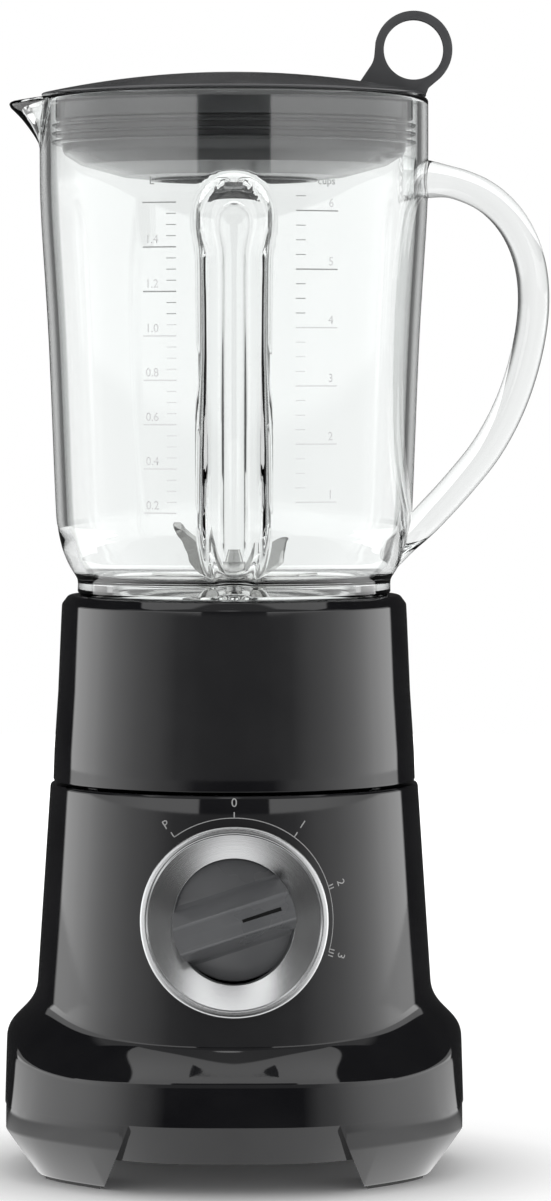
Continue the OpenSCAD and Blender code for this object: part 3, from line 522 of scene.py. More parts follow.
def motor_base():
    """The glossy housing: four feet, an upright band, the shoulder and the round tower."""
    angles = np.linspace(0, 2 * math.pi, 240, endpoint=False)
    coarse = np.linspace(0, 2 * math.pi, 120, endpoint=False)
    low_half = ARCH_HALF - (ARCH_CREASE_Z - ARCH_Z) * FOOT_TAPER
    rings = [level_ring(angles, ARCH_Z, low_half)]
    rings += band_rings(angles, ARCH_CREASE_Z, ARCH_HALF, 8)
    # The crease of the ledge is rounded by a little more than half a millimetre
    below, above = shoulder_ring(angles, 0.0), shoulder_ring(angles, 0.07)
    rings.append(below + (rings[-1] - below) * 0.28)
    rings.append(below + (rings[-2] - below) * 0.05 + (above - below) * 0.12)
    rings += [shoulder_ring(angles, s) for s in np.concatenate([[0.07], np.linspace(0.12, 1, 26)])]
    start = rings[-1]
    top = round_ring(angles, TOWER_Z - 1.2, tower_radius(TOWER_Z - 1.2))
    rings += [start + (top - start) * u for u in np.linspace(0.1, 1, 10)]
    for drop, inset in ((0.6, 0.08), (0.25, 0.3), (0.06, 0.65), (0, 1.1)):
        rings.append(round_ring(angles, TOWER_Z - drop, TOWER_TOP_R - inset))
    shell = solid("motor_base_shell", rings)
    combine(shell, housing_cavity("shell_cavity", coarse, ARCH_Z - 1, WALL), "DIFFERENCE")

    # A block with the feet's outer faces, rounded at the pads and at the crease, and then cut into four
    foot_low = FOOT_HALF - (FOOT_Z - PAD_T + 0.3) * FOOT_TAPER
    feet = solid("feet_block", [level_ring(angles, z, half) for z, half in (
        (PAD_T - 0.3, foot_low - 0.5), (PAD_T + 0.4, foot_low + 0.35), (FOOT_Z - 0.8, FOOT_HALF - 0.57),
        (FOOT_Z - 0.2, FOOT_HALF - 0.19), (FOOT_Z + 0.5, FOOT_HALF - 0.03), (ARCH_CREASE_Z, ARCH_HALF - 0.02),
        (ARCH_CREASE_Z + 1.5, ARCH_HALF - 1.2))])
    gap = foot_gap("gap_lengthwise", FOOT_INNER)
    across = foot_gap("gap_crosswise", SIDE_FOOT_INNER)
    across.data.transform(Matrix.Rotation(math.radians(90), 4, "Z"))
    combine(feet, gap, "DIFFERENCE")
    combine(feet, across, "DIFFERENCE")
    combine(feet, housing_cavity("foot_cavity", coarse, COVER_Z, WALL - 0.3), "DIFFERENCE")
    combine(shell, feet, "UNION")
    combine(shell, disc_cutter("dial_opening", POCKET_R, -90, -50), "DIFFERENCE")
    combine(shell, disc_cutter("ring_rebate", BEZEL_R - 5, -90, -61), "DIFFERENCE")
    combine(shell, disc_cutter("cord_opening", 6.0, 70, 90, CORD_Z), "DIFFERENCE")
    shade(shell, 28)
    finish_piece(shell, "base", "gloss_black", "motor_housing")


def dial_pocket():
    """The cup behind the dial, closed round the switch's neck."""
    neck_r, floor_t, depth = 5.2, 2.6, 9
    outline = rounded([
        (neck_r, 0), (POCKET_R + 2.4, 0), (POCKET_R + 2.4, depth), (POCKET_R, depth), (POCKET_R, floor_t, 1.2),
        (neck_r, floor_t)])
    cup = turned("dial_pocket", outline, "gloss_black", 96)
    upright = Matrix.Rotation(math.radians(90), 4, "X")
    cup.data.transform(Matrix.Translation((0, -(POCKET_BACK - floor_t) * MM, DIAL_Z * MM)) @ upright)
    finish_piece(cup, "base", "gloss_black")


def jug_seat():
    """The raised step that the jug's collar drops over, with a well for the coupling."""
    shaft_r, wall = 9.2, 2.5
    outline = rounded([
        (shaft_r, WELL_FLOOR_Z - wall), (WELL_R + wall, WELL_FLOOR_Z - wall), (WELL_R + wall, SEAT_Z - wall),
        (SEAT_R - wall, SEAT_Z - wall), (SEAT_R - wall, TOWER_Z), (SEAT_R, TOWER_Z), (SEAT_R, SEAT_Z, 1.5),
        (WELL_R, SEAT_Z, 1.0), (WELL_R, WELL_FLOOR_Z, 1.0), (shaft_r, WELL_FLOOR_Z)])
    finish_piece(turned("jug_seat_step", outline, "gloss_black"), "base", "gloss_black", "jug_seat")


# ---- Dial ----

def on_tower(across, up, proud=0.03):
    """A point on the front of the tower, from distances measured along its surface, standing proud of it."""
    z = DIAL_Z + up
    radius = tower_radius(z)
    turn = across / radius
    return ((radius + proud) * math.sin(turn), -(radius + proud) * math.cos(turn), z)


def dial_bezel():
    """The spun metal ring, bent to the tower's curve, with a rounded rim and a dished face."""
    columns = 192
    inner = DIAL_R + 0.55 - 0.2
    section = rounded([
        (BEZEL_R, 0.0), (BEZEL_R, BEZEL_H, 1.1), (BEZEL_R - 2.4, BEZEL_H, 0.8),
        (BEZEL_R - 3.0, BEZEL_H - 0.7, 0.5), (inner, -1.2, 0.4), (inner, -3.2), (inner, -4.5),
        (BEZEL_R - 1.0, -0.2)], 5)
    turns = [2 * math.pi * k / columns for k in range(columns)]
    rings = [[on_tower(r * math.sin(t), r * math.cos(t), proud) for t in turns] for r, proud in section]
    bezel = solid("dial_trim_ring", rings + rings[:1], "bezel_metal", closed_ends=False)
    shade(bezel, 50)
    finish_piece(bezel, "base", "bezel_metal", "dial_bezel")


def speed_dial():
    """The round knob with its bar grip, its two finger recesses and its pointer groove."""

    def disc(name, *steps):
        rim = [[(x, y, depth) for x, y in circle(radius, 128)] for radius, depth in steps]
        return solid(name, rim, "dial_grey")

    def groove(name, ends, half_widths, low, high):
        (near, far), (thin, wide) = ends, half_widths
        plan = ((near, -thin), (far, -wide), (far, wide), (near, thin))
        return solid(name, [[(x, y, GRIP_FRONT + z) for x, y in plan] for z in (low, high)], "pointer_black")

    knob = disc("knob_disc", (DIAL_R, POCKET_BACK + 3), (DIAL_R, GRIP_BACK - 0.6),
                (DIAL_R - 0.2, GRIP_BACK - 0.2), (DIAL_R - 0.7, GRIP_BACK))
    half = [
        (10.8, GRIP_BACK - 1), (10.8, GRIP_BACK), (9.6, GRIP_BACK + 1.2), (6.4, GRIP_FRONT - 4.0),
        (5.5, GRIP_FRONT - 1.6), (5.0, GRIP_FRONT - 0.5), (4.4, GRIP_FRONT - 0.1), (3.9, GRIP_FRONT),
        (3.3, GRIP_FRONT - 0.25)]
    section = half + [(-y, z) for y, z in reversed(half)]
    bar = solid("knob_bar", [[(x, y, z) for y, z in section] for x in (-DIAL_R - 2, DIAL_R + 2)], "dial_grey")
    combine(bar, disc("knob_trim", (DIAL_R, GRIP_BACK - 3), (DIAL_R, GRIP_FRONT + 1)), "INTERSECT")
    combine(knob, bar, "UNION")
    combine(knob, groove("knob_groove", (3, 17.2), (0.55, 0.7), -0.9, 1), "DIFFERENCE")
    soften(knob, 0.35, 2, 35)
    line = groove("pointer_line", (3.05, 17.15), (0.5, 0.65), -0.95, -0.45)
    turn = Matrix.Rotation(math.radians(90 - DIAL_REST), 4, "Z")
    upright = Matrix.Rotation(math.radians(90), 4, "X")
    for piece in (knob, line):
        piece.data.transform(Matrix.Translation((0, 0, DIAL_Z * MM)) @ upright @ turn)
    knob.name = "dial_knob"
    finish_piece(knob, "dial", "dial_grey", "speed_dial")
    finish_piece(line, "dial", "dial_grey")


def flat_text(words, size):
    """The outline of a short text as a flat mesh in millimetres, centred on the origin."""
    curve = bpy.data.curves.new("words", "FONT")
    curve.body = words
    curve.size = size
    curve.align_x = "CENTER"
    curve.align_y = "CENTER"
    curve.resolution_u = 3
    holder = bpy.data.objects.new("words", curve)
    bpy.context.scene.collection.objects.link(holder)
    bpy.context.view_layer.update()
    mesh = bpy.data.meshes.new_from_object(holder.evaluated_get(bpy.context.evaluated_depsgraph_get()))
    points = [tuple(v.co) for v in mesh.vertices]
    faces = [tuple(p.vertices) for p in mesh.polygons]
    bpy.data.objects.remove(holder)
    bpy.data.meshes.remove(mesh)
    return points, faces


def flat_bar(length, width):
    """A flat bar along X, centred."""
    points = [(x, y, 0) for x in (-length / 2, length / 2) for y in (-width / 2, width / 2)]
    return points, [(0, 2, 3, 1)]


def printed(name, marks, wrap, finish, thickness=0.06):
    """Thin printed marks: each is (points, faces, turn, (x, y)), laid flat and then wrapped on a surface."""
    points, faces = [], []
    for mark_points, mark_faces, turn, (x0, y0) in marks:
        base = len(points)
        c, s = math.cos(turn), math.sin(turn)
        points += [wrap(x0 + c * x - s * y, y0 + s * x + c * y) for x, y, _ in mark_points]
        faces += [tuple(base + i for i in face) for face in mark_faces]
    piece = add_piece(name, points, faces, finish, 60)
    step = piece.modifiers.new("ink", "SOLIDIFY")
    step.thickness = thickness * MM
    step.offset = 0
    return settle(piece)


def dial_scale():
    """The printed arc round the ring, its ticks and its plain marks."""
    arc_r, half_line = 36.2, 0.14
    tick_r, word_r = arc_r + 1.1, arc_r + 5.2
    step, tick_spacing = math.radians(36), math.radians(1.7)

    def upright(mark, t, r):
        return (*mark, -t, (r * math.sin(t), r * math.cos(t)))

    turns = np.linspace(-step, 3 * step, 73)
    arc = [(r * math.sin(t), r * math.cos(t), 0) for t in turns for r in (arc_r - half_line, arc_r + half_line)]
    arc_faces = [(2 * i, 2 * i + 1, 2 * i + 3, 2 * i + 2) for i in range(len(turns) - 1)]
    marks = [(arc, arc_faces, 0, (0, 0))]
    for k, (word, ticks) in enumerate((("P", 1), ("0", 1), ("1", 1), ("2", 2), ("3", 3))):
        t = (k - 1) * step
        for j in range(ticks):
            marks.append(upright(flat_bar(0.42, 2.0), t + (j - (ticks - 1) / 2) * tick_spacing, tick_r))
        marks.append(upright(flat_text(word, 4.4), t, word_r))
    finish_piece(printed("dial_scale_print", marks, on_tower, "print_grey"), "base", None)


# ---- Jug collar ----

def jug_collar():
    """The skirt under the jug: it covers the seat on the tower and holds the glass neck in a deep pocket."""
    hall_r = 60.5
    outline = rounded([
        (COLLAR_LOW_R - WALL, TOWER_Z + SEAM), (COLLAR_LOW_R, TOWER_Z + SEAM, 0.9),
        (COLLAR_LOW_R - 0.4, TOWER_Z + 12, 6), (COLLAR_LOW_R - 1.8, TOWER_Z + 33, 12),
        (COLLAR_TOP_R, COLLAR_Z - 9.6), (COLLAR_TOP_R - 0.3, COLLAR_Z - 3.6, 2.2),
        (COLLAR_TOP_R - 2.6, COLLAR_Z - 0.5, 2.2), (COLLAR_TOP_R - 7.0, COLLAR_Z),
        (NECK_R + 4.4, COLLAR_Z - 0.4, 0.8), (NECK_R + 0.8, COLLAR_Z - 4), (NECK_R + 0.8, POCKET_Z),
        (28, POCKET_Z), (28, POCKET_Z - 4), (NECK_R + 4.3, POCKET_Z - 4), (NECK_R + 4.3, COLLAR_Z - 7),
        (hall_r - 1.5, COLLAR_Z - 7), (hall_r - 0.6, POCKET_Z - 4), (hall_r, TOWER_Z + 4)], 6)
    finish_piece(turned("jug_collar_shell", outline, "gloss_black", 200), "jug", "gloss_black", "jug_collar")


def blade_base():
    """The spun steel floor of the jug: a pan standing up inside the neck, round the bearing hub."""
    low, high = (corner[2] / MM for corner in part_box("blade_base"))
    bush_r, hub_r, pan_r = 7, 12, NECK_BORE_R - 0.3
    outline = rounded([
        (bush_r, low), (hub_r, low), (hub_r, POCKET_Z), (NECK_R + 0.4, POCKET_Z), (NECK_R + 0.4, POCKET_Z + 3),
        (pan_r, POCKET_Z + 3), (pan_r, high - 2.4, 0.8), (NECK_BORE_R - 2.6, high - 2.0, 0.8),
        (NECK_BORE_R - 6, high - 3.6, 2), (18, high - 4.6), (13, high - 3.8, 2), (10.5, high - 0.6, 1),
        (9.5, high), (bush_r, high)])
    finish_piece(turned("blade_base_pan", outline, "stainless"), "jug", "stainless", "blade_base")


# ---- Glass jug ----

def soft_min(a, b, blend):
    """The smaller of two surfaces, with the corner between them rounded."""
    h = np.maximum(blend - np.abs(a - b), 0) / blend
    return np.minimum(a, b) - h * h * blend / 4


def flute_radius(angles, z, grow):
    """Radius of the near side of the upright rods that shape the flutes, or a large one where there is none.

    A rod is slim up to its head and then widens to FLUTE_R. It leans outwards as the wall does, and it ends in
    a ball at either end.
    """
    waist, head_rise, widest_turn = 3.0, 12, 0.6
    head = np.clip((z - FLUTE_HEAD_Z) / head_rise, 0, 1)
    rod = FLUTE_R - waist * (1 - head * head * (3 - 2 * head))
    top = FLUTE_LOW_Z + FLUTE_LENGTH * math.cos(FLUTE_LEAN)
    height = np.clip(z, FLUTE_LOW_Z, top)
    centre = JUG_LOW_R + rod - FLUTE_DEPTH + (height - FLUTE_ROOT_Z) * math.tan(FLUTE_LEAN)
    section = (rod + grow) ** 2 - (z - height) ** 2
    offset = np.minimum(np.abs(angles - 1.5 * math.pi), np.abs(angles - 0.5 * math.pi))
    room = section - (centre * np.sin(offset)) ** 2
    near = centre * np.cos(offset) - np.sqrt(np.maximum(room, 0))
    return np.where((room > 0) & (offset < widest_turn), near, 1e3)


def spout_bulge(angles, z):
    """How far the spout pushes the wall outwards, in millimetres."""
    start, full, half_width, keel_r = RIM_Z - 17.5, RIM_Z - 2.5, 16.5, 3
    rise = np.clip((z - start) / (full - start), 0, 1) ** 1.25
    across = MOUTH_R * np.sin(angles - math.pi)
    reach = (np.sqrt(across**2 + keel_r**2) - keel_r) / (half_width * np.maximum(rise, 0.05) ** 0.5)
    width = np.clip(1 - reach, 0, 1)
    return np.where(np.cos(angles) < 0, (SPOUT_REACH - MOUTH_R) * rise * width**1.4, 0)


def jug_columns():
    """Directions of the jug's columns: close together at the flutes and the spout."""
    spans = [(0, 72, 3.0), (72, 108, 0.75), (108, 156, 3.0), (156, 204, 1.5), (204, 252, 3.0), (252, 288, 0.75),
             (288, 360, 3.0)]
    return np.radians(np.concatenate([np.arange(*span) for span in spans]))


def respace(outline, spacing):
    """The outline again, with its points at a spacing given by height."""
    fine = spline(outline, 40)
    steps = np.linalg.norm(np.diff(fine, axis=0), axis=1)
    out, gone = [fine[0]], 0.0
    for point, step in zip(fine[1:], steps):
        gone += step
        if gone >= spacing(point[1]):
            out.append(point)
            gone = 0.0
    if gone > 0:
        out.append(fine[-1])
    return out


def jug_spacing(z):
    """Close rings at the floor, the ends of the flutes and the spout, and wide ones on the plain wall."""
    if z < 217:
        return 0.6
    if z < 238.5 or 329.5 < z < 359.5:
        return 1.3
    if z > 365.5:
        return 1.4
    return 4.0


def glass_jug():
    """One closed skin: up the outside, over the rim and down the inside, with the handle fused on."""
    angles = jug_columns()
    lip_h, droop_depth, droop_h = 1.6, 1.2, 8
    lip_z = RIM_Z - lip_h
    outside = respace([
        (BASE_R, COLLAR_Z + 0.8), (BASE_R, 209.6), (BASE_R, 211.9), (BASE_R + 0.4, 213.4),
        (BASE_R + 2.2, 216.3), (JUG_LOW_R - 4.1, 219.6), (JUG_LOW_R - 2.4, 224.1), (JUG_LOW_R - 0.9, 231.3),
        *JUG_WALL, (MOUTH_R, lip_z)], jug_spacing)
    inside = respace([
        (NECK_BORE_R, 206.5), (NECK_BORE_R, 209.5), (NECK_BORE_R, 211.9), (44.5, 212.7), (45.8, 213.0),
        (48.5, 213.2), (51.2, 214.0), (53.6, 216.0), (55.4, 218.8), (56.9, 222.2), (58.3, 226.2),
        (JUG_LOW_R - GLASS_T - 0.75, 231.8), *((r - GLASS_T, z) for r, z in JUG_WALL),
        (MOUTH_R - GLASS_T, lip_z)], jug_spacing)

    def plain(r, z):
        return np.stack([np.full(len(angles), r), np.full(len(angles), z)], 1)

    def shaped(r, z, grow, blend):
        bulge = spout_bulge(angles, z) * (1 - 0.3 * grow / GLASS_T)
        wall = soft_min(r + bulge, flute_radius(angles, z, grow), blend)
        return np.stack([wall, np.full(len(angles), z)], 1)

    # The neck, from its bore outwards and up to the flat foot that stands on the collar
    rings = [plain(NECK_BORE_R, NECK_Z), plain(NECK_R - 0.6, NECK_Z), plain(NECK_R, NECK_Z + 0.6),
             plain(NECK_R, COLLAR_Z - 1), plain(NECK_R + 1, COLLAR_Z), plain(BASE_R - 0.8, COLLAR_Z)]
    rings += [shaped(r, z, 0.0, 1.6) for r, z in outside]
    # Over the rim in a round edge, which droops a little at the spout
    middle, half = MOUTH_R - GLASS_T / 2, GLASS_T / 2
    for t in np.radians([25, 50, 75, 105, 130, 155]):
        rings.append(shaped(middle + half * math.cos(t), lip_z + lip_h * math.sin(t), 0.0, 1.6))
    rings += [shaped(r, z, GLASS_T, 3.2) for r, z in inside[::-1]]
    points = []
    for r, z in (ring.T for ring in rings):
        droop = droop_depth * np.clip(spout_bulge(angles, z) / (SPOUT_REACH - MOUTH_R), 0, 1)
        z = z - droop * np.clip((z - RIM_Z + droop_h) / droop_h, 0, 1)
        points.append(np.stack([r * np.cos(angles), r * np.sin(angles), z], 1))
    jug = solid("glass_jug_body", points + points[:1], "glass", closed_ends=False)
    combine(jug, handle(), "UNION")
    clean(jug, 0.004, outwards=False)
    shade(jug, 42)
    finish_piece(jug, "jug", "glass", "glass_jug")


def handle():
    """The handle's solid: a rounded section along its path, spreading where it meets the wall."""
    path = spline(HANDLE_PATH, 6)
    last, sides, power = len(path) - 1, 40, 2.5
    top_span, low_span = 0.13, 0.17
    rings = []
    for i, (x, z) in enumerate(path):
        ahead = path[min(i + 1, last)] - path[max(i - 1, 0)]
        ahead = ahead / np.linalg.norm(ahead)
        share = i / last
        top_root = max(0.0, 1 - share / top_span) ** 1.6
        low_root = max(0.0, 1 - (1 - share) / low_span) ** 1.5
        half_t = HANDLE_HALF_T + 3.4 * top_root - 2.2 * low_root
        half_w = HANDLE_HALF_W + 1.6 * top_root + 1.0 * low_root
        ring = []
        for k in range(sides):
            t = 2 * math.pi * k / sides
            r = 1 / (abs(math.cos(t)) ** power + abs(math.sin(t)) ** power) ** (1 / power)
            out = half_t * r * math.cos(t)
            ring.append((x + ahead[1] * out, half_w * r * math.sin(t), z - ahead[0] * out))
        rings.append(ring)
    return solid("handle_solid", rings, "glass")


def on_jug(across, z, proud=0.05):
    """A point on the front of the jug's plain wall."""
    radii, heights = zip(*JUG_WALL)
    radius = float(np.interp(z, heights, radii)) + proud
    turn = across / radius
    return (radius * math.sin(turn), -radius * math.cos(turn), z)


def rung_tree():
    """Level marks up the jug's front: a count of rungs at a step, each bent round the wall."""
    sizes = ("First Height", "Step", "Left", "Right", "Width", "Low Radius", "Low Height", "Taper")
    tree = Tree("measuring_rungs", {"Count": "Int", **dict.fromkeys(sizes, "Float")})
    v = tree.value
    length = tree.math("SUBTRACT", v("Right"), v("Left"))
    bar = tree.add("GeometryNodeMeshGrid", {
        "Size X": length, "Size Y": v("Width"), "Vertices X": 9, "Vertices Y": 2})
    centre = tree.math("MULTIPLY", tree.math("ADD", v("Left"), v("Right")), 0.5)
    shift = tree.add("ShaderNodeCombineXYZ", {"X": centre})
    bar = tree.add("GeometryNodeTransform", {"Geometry": bar.outputs["Mesh"], "Translation": shift.outputs[0]})
    rungs = tree.add("GeometryNodeInstanceOnPoints", {"Points": tree.row("Y"), "Instance": bar.outputs[0]})
    whole = tree.add("GeometryNodeRealizeInstances", {"Geometry": rungs.outputs[0]})
    place = tree.add("GeometryNodeInputPosition", {})
    split = tree.add("ShaderNodeSeparateXYZ", {"Vector": place.outputs[0]})
    rise = tree.math("SUBTRACT", split.outputs["Y"], v("Low Height"))
    radius = tree.math("ADD", v("Low Radius"), tree.math("MULTIPLY", rise, v("Taper")))
    turn = tree.math("DIVIDE", split.outputs["X"], radius)
    bent = tree.add("ShaderNodeCombineXYZ", {
        "X": tree.math("MULTIPLY", radius, tree.math("SINE", turn)),
        "Y": tree.math("MULTIPLY", radius, tree.math("MULTIPLY", tree.math("COSINE", turn), -1.0)),
        "Z": split.outputs["Y"]})
    wrapped = tree.add("GeometryNodeSetPosition", {"Geometry": whole.outputs[0], "Position": bent.outputs[0]})
    tree.end(wrapped.outputs[0], FINISH["glass_print"])
    return tree


def measuring_marks():
    """The litre scale on the left and the cup scale on the right, with quarter ticks between their rungs."""
    tree = rung_tree()
    (low_r, low_z), (next_r, next_z) = JUG_WALL[:2]
    taper = (next_r - low_r) / (next_z - low_z)
    wall = dict(Low_Radius=(low_r + 0.06) * MM, Low_Height=low_z * MM, Taper=taper)
    litres, cups = ["%.1f" % (0.2 * k) for k in range(1, 8)], [str(k) for k in range(1, 7)]
    figure_size, figure_rise, unit_z = 4.2, 2.6, 353.5
    scales = [
        # Name, first height, step, (count, left, right) of its rungs and of its ticks, figures and their place
        ("litre", 237.9, 15.45, (8, -33, -20.4), (29, -24, -20.4), litres, -29.5),
        ("cup", 241.7, 20.3, (6, 21.8, 38), (22, 21.8, 25.4), cups, 35.4),
    ]
    pieces, marks = [], []
    for name, low, step, rungs, ticks, figures, x in scales:
        kinds = (("rungs", step, 0.45, rungs), ("ticks", step / 4, 0.3, ticks))
        for kind, pitch, width, (count, left, right) in kinds:
            pieces.append(tree.make(
                f"{name}_{kind}", First_Height=low * MM, Step=pitch * MM, Count=count, Left=left * MM,
                Right=right * MM, Width=width * MM, **wall))
        for k, word in enumerate(figures):
            marks.append((*flat_text(word, figure_size), 0, (x, low + step * k + figure_rise)))
    marks.append((*flat_text("L", 4.0), 0, (-29.5, unit_z)))
    marks.append((*flat_text("cups", 3.8), 0, (33.5, unit_z)))
    pieces.append(printed("measure_figures", marks, on_jug, "glass_print", 0.05))
    for piece in pieces:
        finish_piece(piece, "jug", None)


# ---- Lid ----

def dome_z(r):
    """Height of the lid's top at a radius."""
    return RIM_Z + BRIM_T + (LID_TOP_Z - DOME_DROP - RIM_Z - BRIM_T) * (1 - (r / LID_R) ** 2)


def lid():
    """The domed cover with its brim, its hollow plug, the tube that the cap drops into and the finger ring."""
    tube_r = CAP_HOLE_R + 3
    rebate_r = tube_r + 1
    rebate_z = dome_z(rebate_r) - 2.8
    tube_low, plug_low = RIM_Z - 30, RIM_Z - 21
    outline = [
        (tube_r - 0.4, tube_low + 0.6), (40, tube_low + 1.6, 3), (PLUG_R - 7, plug_low - 3.4, 4),
        (PLUG_R - 0.6, plug_low + 0.6, 3), (PLUG_R, RIM_Z - 15), (PLUG_R, RIM_Z - 9),
        (PLUG_R + 2.2, RIM_Z - 8.4, 0.5), (PLUG_R + 2.2, RIM_Z + 0.4), (LID_R - 0.1, RIM_Z + 0.4, 0.5),
        (LID_R, RIM_Z + BRIM_T, 0.6)]
    outline += [(r, dome_z(r)) for r in (67.5, 64, 60, 56, 52, 48, 44, 40, 36, rebate_r + 0.35)]
    outline += [
        (rebate_r, dome_z(rebate_r) - 0.35), (rebate_r, rebate_z), (CAP_HOLE_R, rebate_z),
        (CAP_HOLE_R, tube_low, 0.8), (tube_r - 0.6, tube_low, 0.3)]
    cover = turned("lid_shell", rounded(outline), "lid_grey", 200)
    combine(cover, finger_ring(), "UNION")
    shade(cover)
    finish_piece(cover, "lid", "lid_grey", "lid_cover")


def finger_ring():
    """The upright ring at the handle side with its foot, as one flat plate with rounded edges."""
    foot = [(44, RIM_Z + 4), (50.2, RING_Z - 4, 9)]
    turns = np.radians(np.linspace(168, -52, 56))
    arc = [(RING_X + RING_R * math.cos(t), RING_Z + RING_R * math.sin(t)) for t in turns]
    tail = [(RING_X + 5.4, RING_Z - 13.6, 2.5), (RING_X + 4.6, RIM_Z + 1.4)]
    outline = rounded(foot + arc + tail, 8)
    half = RING_T / 2
    plate = solid("finger_ring", [[(x, y, z) for x, z in outline] for y in (half, -half)], "lid_grey")
    edge = [(RING_X + x, RING_Z + z) for x, z in circle(RING_HOLE_R, 72)]
    hole = solid("ring_hole", [[(x, y, z) for x, z in edge] for y in (10, -10)], "lid_grey")
    combine(plate, hole, "DIFFERENCE")
    return soften(plate, 0.9, 3, 50)


def lid_seal():
    """Three thin ribs round the plug that wipe the glass, from one tree of stacked rings."""
    sizes = ("Step", "First Height", "Radius", "Lip", "Thickness")
    tree = Tree("seal_ribs", {"Count": "Int", **dict.fromkeys(sizes, "Float")})
    v = tree.value
    hoop = tree.add("GeometryNodeCurvePrimitiveCircle", {"Resolution": 160, "Radius": v("Radius")})
    lip = tree.add("GeometryNodeCurvePrimitiveCircle", {"Resolution": 12, "Radius": 1.0})
    squash = tree.add("ShaderNodeCombineXYZ", {"X": v("Lip"), "Y": v("Thickness"), "Z": 1.0})
    lip = tree.add("GeometryNodeTransform", {"Geometry": lip.outputs[0], "Scale": squash.outputs[0]})
    rib = tree.add("GeometryNodeCurveToMesh", {"Curve": hoop.outputs[0], "Profile Curve": lip.outputs[0]})
    ribs = tree.add("GeometryNodeInstanceOnPoints", {"Points": tree.row("Z"), "Instance": rib.outputs[0]})
    smooth = tree.add("GeometryNodeSetShadeSmooth", {"Geometry": ribs.outputs[0]})
    tree.end(smooth.outputs[0], FINISH["lid_grey"])
    seal = tree.make(
        "lid_seal_ribs", Count=3, Step=-3.0 * MM, First_Height=(RIM_Z - 10.6) * MM, Radius=(PLUG_R + 1.4) * MM,
        Lip=2.0 * MM, Thickness=0.75 * MM)
    clean(seal)
    shade(seal, 50)
    finish_piece(seal, "lid", "lid_grey", "lid_seal")


def measuring_cap():
    """The round cap in the middle of the lid: its top goes on with the dome, and its cup hangs in the tube."""
    wall_r = CAP_HOLE_R - 1
    flange_r = CAP_HOLE_R + 3.6
    rebate_z = dome_z(CAP_HOLE_R + 4) - 2.4
    low = RIM_Z - 27
    outline = [
        (0, LID_TOP_Z - 3), (wall_r - 2.2, LID_TOP_Z - 4, 2), (wall_r - 3, low, 0.6), (wall_r - 1, low, 0.6),
        (wall_r, LID_TOP_Z - 8), (wall_r, rebate_z), (flange_r, rebate_z),
        (flange_r, dome_z(flange_r) - 0.3, 0.3)]
    outline += [(r, dome_z(r)) for r in (flange_r - 0.5, 28, 24, 20, 16, 12, 8, 4, 0)]
    cap = turned("measuring_cap_shell", rounded(outline), "lid_grey")
    finish_piece(cap, "cap", "lid_grey", "measuring_cap")


# ---- Nodes that keep their own shape ----

def finish_nodes():
    """Every CAD node gets its procedural finish by the record's slot."""
    slots = {part["node"]: part["material_slot"] for part in frame["record"]["subparts"]}
    for name, node in frame["nodes"].items():
        coat = FINISH[slots[name]]
        if not node.material_slots:
            node.data.materials.append(coat)
        for held in node.material_slots:
            held.link = "OBJECT"
            held.material = coat


# ---- Studio ----

# Metres: the round wall's radius and its two ends, and the heights on it where one light gives way to the next
WALL_R, FLOOR_EDGE_Z, CEILING_Z = 2.3, -0.4, 1.6
HIGH_BOX_Z, TOP_LIGHT_Z = (0.39, 0.44), (0.8, 0.86)
# Metres from the axis between which the white board ends
BOARD_EDGE_R = (0.2, 0.24)

# Light that meets the object from each direction round it, in degrees off the camera's direction: dim from
# the front, long softboxes at both sides that end in black flags, and black up to the edge of the backdrop
SOFTBOXES = [(0, 0.26), (22, 0.30), (37, 0.44), (50, 0.92), (65, 1.35), (82, 2.05), (100, 2.95), (112, 3.0),
             (125, 2.6), (127.5, 0.03), (180, 0.03)]
HIGH_SOFTBOXES = [(0, 0.05), (21, 0.05), (22, 1.9), (55, 1.9), (80, 1.6), (105, 1.4), (120, 1.0), (127, 0.9),
                  (128.5, 0.03), (180, 0.03)]
TOP_LIGHT = [(0, 0.2), (22, 0.25), (40, 0.35), (60, 0.6), (80, 0.6), (88, 0.03), (180, 0.03)]
# The floor's light, on the white board under the object and in front of the board's edge
BOARD = [(0, 1.15), (30, 1.45), (60, 1.6), (75, 1.6), (85, 1.3), (95, 1.0), (105, 0.75), (120, 0.4), (130, 0.1),
         (180, 0.1)]
FRONT_GAP = [(0, 0.0), (24, 0.02), (37, 0.6), (50, 0.92), (82, 2.05), (100, 2.5), (112, 2.2), (125, 1.6),
             (127.5, 0.03), (180, 0.03)]
# What the glass bends towards the eye, from high and from low on the wall
THROUGH_GLASS = [(0, 0.1), (21, 0.1), (22, 1.9), (55, 1.9), (80, 1.6), (105, 1.4), (127, 1.0), (129, 0.15),
                 (150, 0.15), (158, 0.86), (168, 0.9), (180, 0.95)]
BESIDE_GLASS = [(0, 0.1), (21, 0.2), (22, 0.8), (80, 0.7), (105, 0.55), (127, 0.4), (129, 0.12), (148, 0.15),
                (158, 0.8), (168, 0.88), (180, 0.95)]
# The board's glow by distance from the axis: it fades out under and round the object as a painted shadow
FLOOR_GLOW_PAINTED_SHADOW = [(0, 0.0), (0.075, 0.0), (0.13, 0.3), (0.5, 0.45), (3, 1.0)]


def blend(tree, share, low, high):
    """A level that goes from low to high with a share from 0 to 1."""
    return add_node(tree, "ShaderNodeMix", {0: share, 2: low, 3: high}, data_type="FLOAT").outputs[0]


def step_up(tree, source, start, end):
    """0 below start and 1 above end."""
    rise = add_node(tree, "ShaderNodeMapRange", {
        "Value": source, "From Min": start, "From Max": end}, interpolation_type="SMOOTHSTEP")
    return rise.outputs["Result"]


